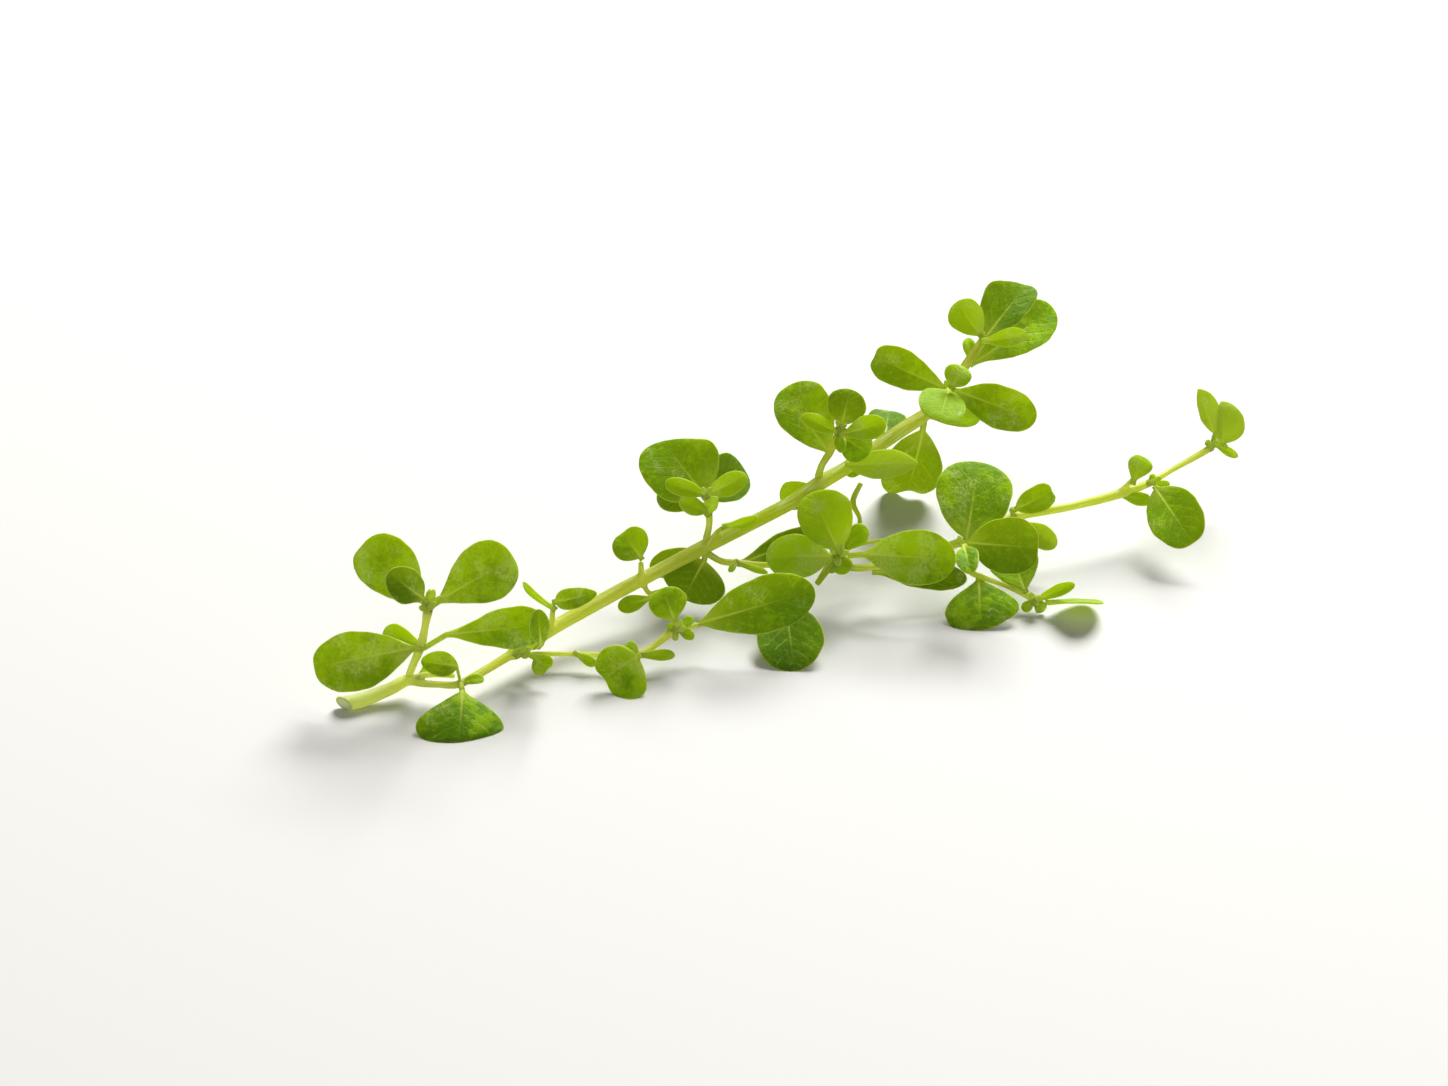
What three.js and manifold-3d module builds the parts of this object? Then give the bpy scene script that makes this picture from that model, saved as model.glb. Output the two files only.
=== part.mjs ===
// A cut sprig of water hyssop lying on a flat surface: stems with opposite pairs of thick rounded leaves.
// Millimetres, +Z up, +X to the right, the surface at z = 0 and the origin under the middle of the sprig.
import * as THREE from "three";
import { mergeVertices } from "three/addons/utils/BufferGeometryUtils.js";
import Module from "manifold-3d";

const wasm = await Module();
wasm.setup();
const { Manifold, Mesh: SolidMesh } = wasm;

// Scale: the longest leaf, about 120 pixels, is taken as 19.5 mm, as on a well grown plant.
const MM_PER_PIXEL = 0.164;

// The view in which places are read: a long lens that looks down on the surface.
const FRAME_WIDTH = 1448;
const FRAME_HEIGHT = 1086;
const LENS_MM = 100;
const SENSOR_MM = 36;
const ELEVATION_DEG = 35;
const ORIGIN_PIXEL = { x: 792, y: 573.5 };

// Real sizes that every piece shares.
const GROUND_WIDTH = 300;
const GROUND_DEEP = 20;
const BLADE_THICK = 0.66;
const STALK_HALF_WIDTH = 0.5;
const STALK_TAPER = 2;
const STALK_EXTRA_THICK = 0.3;
const END_ARC = 0.9;
const NOTCH_WIDTH = 0.45;
const CUP_CURVE = 1.5;
const WAVES_ALONG = 3;
const WAVE_LAG = 2;
const CUT_SLANT_DEG = 42;
const CUT_LEAN_DEG = 40;
const GAP = 0.3;
const STEM_SIDES = 8;
const STEM_STEPS = 2;
const STRAND_SIDES = 6;
const CUTTER_SIDES = 6;
const MERGE_WITHIN = 1e-4;
const NUDGE = 0.02;

// Where the grid lines of a blade lie: 0 is its root, 1 its widest place and 2 its tip, and
// across it from edge to edge.
const LARGE_ROWS = [0, 0.3, 0.65, 1, 1.5, 2];
const LARGE_COLUMNS = [-1, -0.55, 0, 0.55, 1];
const SMALL_ROWS = [0, 0.5, 1, 2];
const SMALL_COLUMNS = [-1, 0, 1];

const GREENS = {
  leaf: 0x5a9410,
  bright: 0x7db51c,
  dark: 0x3f6e10,
  pale: 0x93b552,
  stem: 0xb3b862,
  shoot: 0xa4b84a,
};

const focalPixels = (LENS_MM / SENSOR_MM) * FRAME_WIDTH;
const elevation = THREE.MathUtils.degToRad(ELEVATION_DEG);
const viewForward = new THREE.Vector3(0, Math.cos(elevation), -Math.sin(elevation));
const viewUp = new THREE.Vector3(0, Math.sin(elevation), Math.cos(elevation));
const viewRight = new THREE.Vector3(1, 0, 0);

// The direction in which the view looks through one pixel.
function rayThrough(x, y) {
  return viewForward
    .clone()
    .addScaledVector(viewRight, (x - FRAME_WIDTH / 2) / focalPixels)
    .addScaledVector(viewUp, (FRAME_HEIGHT / 2 - y) / focalPixels);
}

const eye = rayThrough(ORIGIN_PIXEL.x, ORIGIN_PIXEL.y).multiplyScalar(-MM_PER_PIXEL * focalPixels);

// The point of the sprig that shows at a pixel and lies at a height above the surface.
function place([x, y, height]) {
  const ray = rayThrough(x, y);
  return ray.multiplyScalar((height - eye.z) / ray.z).add(eye);
}

// A geometry's solid, for joining and cutting.
function solidOf(geometry) {
  const bare = new THREE.BufferGeometry().setAttribute("position", geometry.attributes.position);
  const merged = mergeVertices(bare.setIndex(geometry.index), MERGE_WITHIN);
  return new Manifold(
    new SolidMesh({
      numProp: 3,
      vertProperties: new Float32Array(merged.attributes.position.array),
      triVerts: new Uint32Array(merged.index.array),
    }),
  );
}

// A solid's geometry, for a mesh.
function geometryOf(solid) {
  const mesh = solid.getMesh();
  return new THREE.BufferGeometry()
    .setAttribute("position", new THREE.BufferAttribute(mesh.vertProperties, 3))
    .setIndex(new THREE.BufferAttribute(mesh.triVerts, 1));
}

function geometryFrom(points, triangles) {
  const geometry = new THREE.BufferGeometry().setFromPoints(points);
  geometry.setIndex(triangles.flat());
  return geometry;
}

// How far the oblique cut runs along a stem for each step across it.
const cutRise = Math.tan(THREE.MathUtils.degToRad(CUT_SLANT_DEG));

// The way the oblique cut at a stem's start leans: across the stem, towards the view and then down.
function cutLean(start, tangent) {
  const toEye = eye.clone().sub(start);
  const facing = toEye.addScaledVector(tangent, -toEye.dot(tangent)).normalize();
  return facing.applyAxisAngle(tangent, THREE.MathUtils.degToRad(CUT_LEAN_DEG));
}

// A round stem along a smooth curve, thicker at its joints, with a square or an oblique start.
// Each stop is [pixel x, pixel y, height, radius].
function stemSolid(stops, { extra = 0, sides = STEM_SIDES, steps = STEM_STEPS, oblique = false } = {}) {
  const centres = stops.map(place);
  const curve = new THREE.CatmullRomCurve3(centres, false, "centripetal");
  const spans = stops.length - 1;
  const rings = spans * steps;
  const points = [];
  let normal = new THREE.Vector3(0, 0, 1);
  for (let ring = 0; ring <= rings; ring++) {
    const t = ring / rings;
    const centre = curve.getPoint(t);
    const tangent = curve.getTangent(t);
    normal = normal.clone().addScaledVector(tangent, -normal.dot(tangent)).normalize();
    const side = tangent.clone().cross(normal);
    const span = Math.min(Math.floor(t * spans), spans - 1);
    const radius = extra + THREE.MathUtils.lerp(stops[span][3], stops[span + 1][3], t * spans - span);
    centre.z = Math.max(centre.z, radius * Math.hypot(tangent.x, tangent.y) - extra);
    const lean = oblique && ring === 0 ? cutLean(centre, tangent) : null;
    for (let k = 0; k < sides; k++) {
      const angle = (2 * Math.PI * k) / sides;
      const spoke = normal.clone().multiplyScalar(radius * Math.cos(angle));
      spoke.addScaledVector(side, radius * Math.sin(angle));
      if (lean) spoke.addScaledVector(tangent, spoke.dot(lean) * cutRise);
      points.push(centre.clone().add(spoke));
    }
  }
  const triangles = [];
  for (let ring = 0; ring < rings; ring++)
    for (let k = 0; k < sides; k++) {
      const next = (k + 1) % sides;
      const [a, b] = [ring * sides + k, ring * sides + next];
      triangles.push([a, b, b + sides], [a, b + sides, a + sides]);
    }
  const first = points.push(middleOf(points.slice(0, sides))) - 1;
  const last = points.push(middleOf(points.slice(rings * sides, first))) - 1;
  for (let k = 0; k < sides; k++) {
    const next = (k + 1) % sides;
    triangles.push([first, next, k], [last, rings * sides + k, rings * sides + next]);
  }
  return solidOf(geometryFrom(points, triangles));
}

function middleOf(points) {
  return points.reduce((sum, p) => sum.add(p), new THREE.Vector3()).divideScalar(points.length);
}

// A place on a blade's outline grid: how far along it, and how far out as a share of its half width.
// Up to the widest place the blade is a wedge. Past it the grid bends into a round end, where the last
// row is an arc of END_ARC to each side of the tip.
function bladePlace(u, v, { widest = 0.62, base = 1, point = 0, notch = 0, slant = 0 }) {
  if (u <= 1) return [u * widest * (1 - slant * v * u * widest), v * Math.sin((Math.PI / 2) * u ** base)];
  const late = u - 1;
  const turn = late * (Math.PI / 2 - END_ARC);
  const arcShare = (Math.cos(END_ARC * v) - Math.cos(END_ARC)) / (1 - Math.cos(END_ARC));
  const reach = Math.sin(turn) + (late - Math.sin(turn)) * arcShare;
  const out = Math.cos(turn) * ((1 - late) * v + (late * Math.sin(END_ARC * v)) / Math.sin(END_ARC));
  const dent = notch * late ** 2 * Math.exp(-((v / NOTCH_WIDTH) ** 2));
  const far = widest + (1 - widest) * reach;
  return [far * (1 - slant * v * far) - dent, out * (1 - point * reach ** 2)];
}

// The frame of a blade: along its midrib, across it, and out of its upper face.
// A roll of 0 turns the face to the view, and a positive roll turns it to the blade's left.
function bladeFrame(root, tip, roll) {
  const along = tip.clone().sub(root).normalize();
  const toEye = eye.clone().sub(root).normalize();
  const facing = toEye.addScaledVector(along, -toEye.dot(along)).normalize();
  const up = facing.applyAxisAngle(along, -THREE.MathUtils.degToRad(roll));
  return { along, up, across: up.clone().cross(along) };
}

// The middle surface of a blade, from its stalk (u from -1 to 0) to its tip (u = 2), v from edge to edge.
function bladeSurface(leaf) {
  const { roll = 0, cup = 12, arch = 0.5, wave = 0.12, phase = 0, skew = 0 } = leaf;
  const root = place(leaf.root);
  const tip = place(leaf.tip);
  const stalk = leaf.stalk ? place(leaf.stalk) : root;
  const frame = bladeFrame(root, tip, roll);
  const lift = THREE.MathUtils.degToRad(cup);
  const surface = (u, v) => {
    const [reach, out] = bladePlace(Math.max(u, 0), v, leaf);
    const point = u < 0 ? root.clone().lerp(stalk, -u) : root.clone().lerp(tip, reach);
    const widened = (leaf.width / 2) * out;
    const narrow = STALK_HALF_WIDTH * Math.max(0, 1 - reach * STALK_TAPER);
    const side = Math.sign(v) * Math.hypot(narrow * v, widened) * (1 + skew * Math.sign(v));
    const raised =
      arch * 4 * reach * (1 - reach) +
      (Math.sin(lift) * Math.abs(side) ** CUP_CURVE) / Math.sqrt(leaf.width / 2) +
      wave * reach * v * v * Math.sin(WAVES_ALONG * Math.PI * reach + phase + (v < 0 ? WAVE_LAG : 0));
    return point.addScaledVector(frame.across, side * Math.cos(lift)).addScaledVector(frame.up, raised);
  };
  return { surface, frame, root };
}

// A blade of even thickness over its middle surface. Both faces are split into triangles alike.
function bladeSolid(leaf, rows, columns) {
  const { surface, frame } = bladeSurface(leaf);
  const along = leaf.stalk ? [-1, -0.5, ...rows] : rows;
  const top = [];
  const bottom = [];
  for (const u of along)
    for (const v of columns) {
      const du = surface(Math.min(u + NUDGE, 2), v).sub(surface(Math.max(u - NUDGE, along[0]), v));
      const dv = surface(u, v + NUDGE).sub(surface(u, v - NUDGE));
      const normal = du.cross(dv).normalize();
      if (normal.dot(frame.up) < 0) normal.negate();
      const thicker = STALK_EXTRA_THICK * Math.max(0, 1 - 2 * Math.max(u, 0)) * (1 - v * v);
      const half = (BLADE_THICK + thicker) / 2;
      top.push(surface(u, v).addScaledVector(normal, half));
      bottom.push(surface(u, v).addScaledVector(normal, -half));
    }
  const across = columns.length;
  const triangles = [];
  const below = top.length;
  const wall = (a, b) => triangles.push([a, b + below, b], [a, a + below, b + below]);
  for (let i = 0; i + 1 < along.length; i++)
    for (let j = 0; j + 1 < across; j++) {
      const [a, b] = [i * across + j, (i + 1) * across + j];
      for (const [p, q, r] of [[a, b, b + 1], [a, b + 1, a + 1]])
        triangles.push([p, q, r], [p + below, r + below, q + below]);
    }
  const lastRow = (along.length - 1) * across;
  for (let i = 0; i + 1 < along.length; i++) {
    wall(i * across, (i + 1) * across);
    wall((i + 2) * across - 1, (i + 1) * across - 1);
  }
  for (let j = 0; j + 1 < across; j++) {
    wall(j + 1, j);
    wall(lastRow + j, lastRow + j + 1);
  }
  return solidOf(geometryFrom([...top, ...bottom], triangles));
}

// Stops of the stems: pixel x, pixel y, height and radius in mm.
const MAIN_STEM = [
  [344, 703.5, 1.22, 1.22], [360, 700.5, 1.3, 1.2], [375, 695, 1.6, 1.12], [392, 688, 2.1, 1.02],
  [408, 680, 2.7, 0.95], [419, 683, 2.9, 0.6], [438, 684.5, 3, 0.55], [455, 685, 3.1, 0.6],
  [465, 681.5, 3.2, 0.68], [489, 668, 3.5, 0.7], [507, 657, 3.8, 0.75], [516, 652, 4, 1.15],
  [551, 629, 4.7, 1.15], [582, 611.5, 5.4, 1.15], [623, 589, 6.6, 1.15], [657, 571.5, 7.5, 1.12],
  [707, 545.5, 9, 1.2], [753, 522.5, 10.6, 1.15], [791, 502.5, 12, 1.15], [820, 483, 13, 1.25],
  [846, 468, 14.2, 1.12], [874, 449, 15.6, 1.15], [903, 429, 17, 1.2], [927, 413, 18, 1.1],
  [948, 389, 20, 0.85], [966, 365, 21.9, 0.8], [982, 341, 23.7, 0.75],
];
const UPRIGHT_SHOOT = [
  [409, 676, 3.2, 0.62], [413, 665, 5.2, 0.62], [421, 645.5, 8.4, 0.75], [425, 627, 11.3, 0.6],
  [428, 610, 14, 0.8], [431, 598, 15.8, 0.45],
];
const LOWER_SHOOT = [
  [517, 655, 3.3, 0.45], [539, 654, 2.7, 0.42], [579, 654, 2.5, 0.42], [637, 655, 3, 0.62],
  [655, 645, 3.7, 0.55], [677, 629, 5.2, 0.75], [690, 627, 5.4, 0.5], [700, 624, 5.6, 0.5],
];
const MIDDLE_SHOOT = [
  [706, 540, 10, 0.6], [709, 526, 12.4, 0.55], [709, 514, 14.6, 0.6], [706, 495, 18, 0.55],
];
const UPPER_SHOOT = [
  [818, 478, 13.8, 0.65], [822, 465, 16, 0.58], [830, 452, 18.2, 0.65], [837, 436, 21, 0.6],
  [840, 425, 23, 0.5],
];
const SIDE_BRANCH = [
  [704, 551, 8.2, 0.6], [721, 561, 7.4, 0.55], [737, 563, 7.4, 0.58], [770, 565, 7.2, 0.5],
  [806, 563, 7.4, 0.55], [836, 556, 8.3, 0.75], [850, 567, 7.5, 0.62], [876, 566, 7.5, 0.62],
  [914, 557, 7.8, 0.6], [963, 541, 9, 0.75], [990, 527, 8.8, 0.62], [1013, 517, 8.5, 0.75],
  [1066, 507.5, 8.4, 0.68], [1119, 494, 8.7, 0.8], [1149, 483, 9, 0.68], [1170, 471, 9.4, 0.48],
  [1207, 450, 10.2, 0.6], [1217, 443, 11, 0.5],
];
const SIDE_TWIG = [
  [966, 551, 8, 0.5], [970, 571, 5.6, 0.52], [982, 577, 5, 0.5], [1004, 585, 3.8, 0.42],
  [1024, 594, 2.6, 0.5], [1034, 600, 1.8, 0.55], [1043, 602, 1.6, 0.4],
];

// Short side stems that are one piece with a longer one, as its stops are.
const MAIN_STRANDS = [
  [[406, 680, 3, 0.5], [425, 675, 3.9, 0.52], [441, 674.5, 4, 0.5], [455, 676, 3.9, 0.42]],
  [[551, 630, 4.9, 0.5], [552, 620, 6.8, 0.48], [553, 607, 9, 0.4]],
  [[640, 581, 7.2, 0.6], [641, 571, 8.6, 0.5], [641, 562, 10, 0.45]],
  [[642, 580, 6.8, 0.5], [649, 593, 5.6, 0.42], [660, 591, 5.2, 0.35]],
  [[708, 545, 9.6, 0.5], [718, 531, 11.2, 0.38], [729, 525, 12.2, 0.33]],
];
const BRANCH_STRANDS = [
  [[836, 556, 8.4, 0.6], [828, 568, 7.4, 0.68], [817, 584, 6.3, 0.5]],
  [[837, 556, 8.3, 0.6], [846, 549, 8.2, 0.5], [860, 544, 8.1, 0.42], [884, 540, 8, 0.36]],
  [
    [837, 556, 8.4, 0.6], [850, 543, 9.4, 0.45], [860, 521, 12, 0.38], [853, 502, 14.6, 0.5],
    [861, 483, 17.2, 0.44],
  ],
  [[1118, 493, 9, 0.5], [1127, 485, 10, 0.42], [1134, 478, 11, 0.4]],
];

// Leaves: places of the stalk, root and tip as [pixel x, pixel y, height], and the width in mm.
const UPRIGHT_LEAVES = [
  { name: "upright_leaf_left", stalk: [426, 609, 14], root: [423, 602, 15.4], tip: [358, 546, 21],
    width: 9.2, skew: -0.16, cup: 10, arch: 0.8, notch: 0.03, base: 0.85, widest: 0.6 },
  { name: "upright_leaf_front", root: [422, 598, 17.2], tip: [388, 572, 22.8], width: 5.8, cup: 14,
    arch: 0.3, widest: 0.55, base: 0.7, tone: "dark" },
  { name: "upright_leaf_right", stalk: [430, 608, 14.2], root: [437, 602, 15.2], tip: [515, 556, 20.6],
    width: 9.8, skew: 0.04, cup: 12, arch: 0.8, notch: 0.02, base: 1.1, widest: 0.66 },
  { name: "upright_leaf_low_left", stalk: [420, 649, 8.2], root: [414, 648, 9.2], tip: [311, 668, 6.6],
    width: 9.6, cup: 12, arch: 0.9, notch: 0.03, base: 0.9, widest: 0.6, point: 0.08, skew: 0.06 },
  { name: "upright_leaf_low_right", stalk: [424, 648, 8.2], root: [446, 635, 10.2],
    tip: [546, 624, 8.6], width: 7, cup: 16, arch: 0.7, base: 1.1, widest: 0.68 },
];
const UPRIGHT_BUDS = [
  { root: [421, 644, 8.4], tip: [383, 632, 8.4], width: 3.8 },
  { root: [428, 609, 14.2], tip: [430, 589, 17.6], width: 1.3 },
  { root: [429, 609, 14.2], tip: [441, 600, 16], width: 1.2, roll: 30 },
];

const BASE_LEAVES = [
  { name: "base_leaf_small", stalk: [460, 680, 3.8], root: [457, 666, 5.6], tip: [421, 661, 6],
    width: 4.1, widest: 0.4, base: 0.6, point: 0.2 },
  { name: "base_leaf_fan", stalk: [461, 684, 3.4], root: [463, 692, 3], tip: [459, 743, -0.1],
    width: 13.9, slant: 0.12, cup: -10, arch: 0.9, base: 1.1, widest: 0.68, point: 0.1 },
  { name: "joint_leaf_front", stalk: [536, 650, 4.8], root: [541, 645, 7.8], tip: [538, 609, 15.4],
    width: 3.3, base: 0.8, tone: "dark" },
  { name: "joint_leaf_heart", stalk: [527, 653, 3.9], root: [536, 658, 3.9], tip: [549, 671, 2.6],
    width: 3.8, base: 0.6, notch: 0.1 },
  { name: "joint_leaf_up", root: [556, 602, 9.6], tip: [597, 593, 11], width: 3.5, widest: 0.36,
    base: 0.5, point: 0.3 },
];
const MAIN_BUDS = [
  { root: [419, 677, 3.5], tip: [431, 661, 4.6], width: 1.2 },
  { root: [462, 683, 3.2], tip: [484, 679, 3.4], width: 1.9, roll: 25 },
  { root: [553, 608, 8.9], tip: [523, 582, 12.6], width: 1.6, roll: 40 },
  { root: [650, 598, 5.5], tip: [618, 608, 4.4], width: 2.9 },
  { root: [726, 526, 12], tip: [758, 517, 13.6], width: 2, roll: -25 },
  { root: [815, 486, 12.6], tip: [781, 501, 10.2], width: 5 },
  { root: [870, 455, 14.6], tip: [846, 475, 11.6], width: 3 },
  { root: [926, 416, 17.4], tip: [980, 418, 16.4], width: 4.2, roll: 20 },
  { root: [971, 361, 21.6], tip: [968, 338, 24], width: 2.2 },
];

const LOWER_LEAVES = [
  { name: "lower_leaf_heart", root: [637, 656, 4.2], tip: [599, 682, 1.2], width: 9.8, cup: 12,
    arch: 0.5, base: 0.55, widest: 0.5, notch: 0.13, skew: 0.2 },
  { name: "lower_leaf_up", stalk: [676, 624, 6.9], root: [674, 619, 7.6], tip: [662, 588, 11.8],
    width: 6.3, base: 0.75, widest: 0.55 },
  { name: "lower_leaf_long", root: [701, 623, 5.7], tip: [815, 590, 9.6], width: 9.2, cup: 10,
    arch: 1.2, base: 0.85, widest: 0.6, point: 0.05 },
  { name: "lower_leaf_under", stalk: [783, 572, 6.2], root: [786, 606, 4.4], tip: [795, 672, -0.1],
    width: 10.9, cup: 8, arch: 0.5, base: 0.7, widest: 0.56 },
];
const LOWER_BUDS = [
  { root: [577, 654, 2.5], tip: [596, 665, 1.4], width: 1.8 },
  { root: [638, 655, 3.1], tip: [675, 655, 2.2], width: 1.9 },
  { root: [638, 656, 3], tip: [627, 643, 4.6], width: 2.2 },
  { root: [676, 630, 5.2], tip: [667, 626, 5.8], width: 1.7 },
  { root: [678, 629, 5.3], tip: [694, 638, 4.2], width: 1.8 },
  { root: [679, 629, 5.3], tip: [693, 617, 7], width: 1.7 },
];

const STEM_LEAVES = [
  { name: "stem_leaf_stalked", root: [640.5, 557, 10.8], tip: [621, 531, 14.2], width: 6.3, base: 0.6,
    widest: 0.52, notch: 0.07 },
  { name: "stem_leaf_hanging", stalk: [706, 553, 7.6], root: [704, 561, 6.4], tip: [683, 599, 1.8],
    width: 11, cup: 8, arch: 0.6, base: 0.6, widest: 0.52, tone: "dark" },
  { name: "stem_leaf_behind", root: [702, 552, 6.6], tip: [650, 570, 3.6], width: 4.6, base: 0.7,
    tone: "dark" },
  { name: "stem_leaf_sheath", root: [849, 465, 16.4], tip: [918, 463, 17.6], width: 4.9, cup: 6,
    arch: 0.4, point: 0.5, tone: "pale", base: 0.6, widest: 0.55 },
  { name: "stem_leaf_prop", stalk: [925, 420, 16.2], root: [923, 431, 14], tip: [907, 498, -0.9],
    width: 10.2, skew: -0.05, slant: 0.12, cup: 4, arch: 0.8, base: 0.7, notch: 0.13, tone: "dark",
    widest: 0.58 },
];

const HEAD_LEAVES = [
  { name: "head_leaf_left", root: [944, 388, 21.2], tip: [871, 355, 23], width: 6.7, cup: 12, arch: 0.9,
    notch: 0.05, base: 0.85 },
  { name: "head_leaf_right", root: [957, 391, 20.6], tip: [1036, 420, 19.6], width: 7.3, cup: 10,
    arch: 0.9, base: 0.85, point: -0.1 },
  { name: "head_leaf_round", root: [953, 386, 23], tip: [962, 366, 25.2], width: 4.7, base: 0.55,
    widest: 0.5, tone: "bright" },
  { name: "head_leaf_front", root: [948, 392, 21.6], tip: [938, 424, 21], width: 8, base: 0.55,
    widest: 0.52, notch: 0.1, cup: 6, tone: "bright", skew: -0.1 },
  { name: "tip_leaf_right", root: [986, 336, 25], tip: [1026, 285, 29.2], width: 8.4, skew: 0.24,
    slant: 0.18, base: 0.7, arch: 0.7 },
  { name: "tip_leaf_left", root: [980, 335, 25.6], tip: [956, 302, 30], width: 6, base: 0.75, arch: 0.4,
    tone: "bright" },
  { name: "tip_leaf_front", root: [985, 341, 25.4], tip: [1028, 335, 28.2], width: 3.3, arch: 0.3,
    tone: "bright" },
  { name: "tip_leaf_back", root: [973, 363, 20.6], tip: [1054, 309, 22.6], width: 8.1, arch: 1,
    base: 1 },
];

const MIDDLE_LEAVES = [
  { name: "middle_leaf_left", root: [703, 494, 17.6], tip: [663, 441, 22.3], width: 12.6, skew: 0.0,
    cup: 8, arch: 0.7, base: 0.5, widest: 0.5, slant: -0.26 },
  { name: "middle_leaf_back", root: [706, 497, 15.6], tip: [746, 472, 15], width: 8.2, base: 0.7,
    widest: 0.55, tone: "dark", skew: 0.2 },
  { name: "middle_leaf_right", root: [710, 493, 19.2], tip: [747, 476, 22], width: 3.8, base: 0.75,
    widest: 0.56, tone: "bright" },
  { name: "middle_leaf_low", root: [704, 506, 14], tip: [657, 495, 13.4], width: 4.4, tone: "dark" },
];
const MIDDLE_BUDS = [
  { root: [706, 495, 18.4], tip: [665, 482, 21.6], width: 3 },
  { root: [708, 512, 15.2], tip: [679, 501, 18.4], width: 3 },
  { root: [708, 513, 15], tip: [716, 496, 18.6], width: 2 },
];

const UPPER_LEAVES = [
  { name: "upper_leaf_left", root: [828, 451, 17.8], tip: [783, 389, 23.6], width: 9.5, skew: -0.18,
    cup: 8, arch: 0.8, base: 0.8, widest: 0.62 },
  { name: "upper_leaf_up", root: [842, 424, 23.2], tip: [850, 389, 28], width: 6.6, base: 0.65,
    widest: 0.56 },
  { name: "upper_leaf_right", root: [843, 434, 22.6], tip: [886, 423, 25], width: 4.2, tone: "bright" },
  { name: "upper_leaf_back", root: [884, 443, 14.4], tip: [889, 411, 14.6], width: 6.8, tone: "dark",
    base: 0.6, widest: 0.55 },
  { name: "upper_leaf_front", root: [845, 438, 20.4], tip: [869, 454, 19], width: 5.8, base: 0.6 },
];
const UPPER_BUDS = [
  { root: [838, 432, 21.8], tip: [801, 416, 25.4], width: 2.8 },
  { root: [839, 434, 21.2], tip: [842, 453, 19.6], width: 2 },
];

const BRANCH_LEAVES = [
  { name: "branch_leaf_behind", root: [741, 563, 6.4], tip: [818, 533, 8], width: 4.8, tone: "dark" },
  { name: "branch_leaf_left", root: [829, 556, 9.6], tip: [766, 557, 8.8], width: 7.2, base: 0.65,
    widest: 0.55, arch: 0.6, cup: 6 },
  { name: "branch_leaf_up", root: [838, 550, 11], tip: [811, 493, 18.2], width: 9.1, skew: -0.12,
    base: 0.7, widest: 0.6, arch: 0.7, tone: "bright" },
  { name: "branch_leaf_right", stalk: [848, 555, 9.6], root: [863, 554, 10], tip: [956, 560, 10.2],
    width: 9.1, cup: 8, arch: 1, base: 0.95, widest: 0.6 },
  { name: "branch_leaf_under", root: [876, 572, 6], tip: [967, 579, 4.2], width: 4.6, tone: "dark" },
];
const BRANCH_BUDS = [
  { root: [845, 549, 8.8], tip: [866, 526, 12], width: 3.6 },
  { root: [838, 555, 8.6], tip: [846, 574, 6.6], width: 3.4 },
  { root: [836, 556, 8.4], tip: [828, 573, 6.6], width: 2.6 },
  { root: [737, 563, 7.4], tip: [768, 573, 6.6], width: 1.2 },
  { root: [736, 563, 7.5], tip: [729, 572, 6.6], width: 1.1 },
  { root: [1120, 495, 8.2], tip: [1151, 501, 7], width: 2.4 },
  { root: [1133, 481, 10.8], tip: [1139, 455, 14], width: 4.2, roll: -15, skew: -0.2 },
  { root: [1150, 483, 9.2], tip: [1170, 484, 8.8], width: 1.2 },
  { root: [1150, 482, 9.2], tip: [1154, 474, 10.4], width: 1.1 },
  { root: [1215, 444, 10.8], tip: [1238, 457, 9.8], width: 1.6 },
  { root: [1210, 448, 10.4], tip: [1207, 440, 11.6], width: 1.2 },
];
const CLUSTER_LEAVES = [
  { name: "cluster_leaf_top", root: [967, 538, 10.2], tip: [979, 462, 17.4], width: 12.5, cup: 8,
    arch: 0.9, base: 0.65, widest: 0.58 },
  { name: "cluster_leaf_right", root: [969, 543, 10.8], tip: [1042, 548, 12], width: 9.4, cup: 8,
    arch: 0.8, base: 0.7, notch: 0.05 },
  { name: "cluster_leaf_small", root: [965, 548, 11], tip: [971, 574, 10.8], width: 3.9, base: 0.6,
    widest: 0.52 },
  { name: "cluster_leaf_low", root: [1025, 589, 3.6], tip: [1008, 546, 6.4], width: 8.4, base: 0.75 },
  { name: "cluster_leaf_front", root: [979, 580, 4.4], tip: [981, 631, -0.1], width: 12, cup: -6,
    arch: 0.8, base: 1.05, widest: 0.6, skew: 0.06, slant: 0.12 },
  { name: "cluster_leaf_up", root: [1017, 509, 10], tip: [1055, 490, 12.8], width: 4.5, base: 0.6,
    notch: 0.07 },
  { name: "cluster_leaf_pale", root: [1024, 523, 7.4], tip: [1056, 547, 5.6], width: 3.9,
    tone: "pale" },
];
const END_LEAVES = [
  { name: "end_leaf_hanging", root: [1157, 489, 8.8], tip: [1195, 546, 5.4], width: 9.1, cup: 8,
    arch: 0.7, base: 0.65, widest: 0.55, notch: 0.04 },
  { name: "end_leaf_left", stalk: [1213, 443, 10.6], root: [1215, 433, 11.8], tip: [1198, 389, 16],
    width: 4.9, roll: 40, arch: 0, cup: 4, tone: "pale", widest: 0.5, base: 0.7, point: 0.6,
    skew: -0.3 },
  { name: "end_leaf_right", root: [1222, 443, 12.8], tip: [1222, 401, 18.4], width: 4.8, roll: -20,
    widest: 0.36, base: 0.5, tone: "pale", skew: -0.5 },
];
const TWIG_LEAVES = [
  { name: "twig_leaf_flat", root: [1049, 602, 2.1], tip: [1104, 603, 2.6], width: 7.6, roll: 86,
    arch: 0.15, cup: 2, wave: 0, tone: "pale" },
];
const TWIG_BUDS = [
  { root: [1037, 599, 2], tip: [1075, 584, 5], width: 2.1 },
  { root: [1033, 600, 1.8], tip: [1023, 611, 0.4], width: 1.8 },
  { root: [1035, 601, 1.8], tip: [1044, 611, 0.4], width: 2.2 },
];

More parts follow.
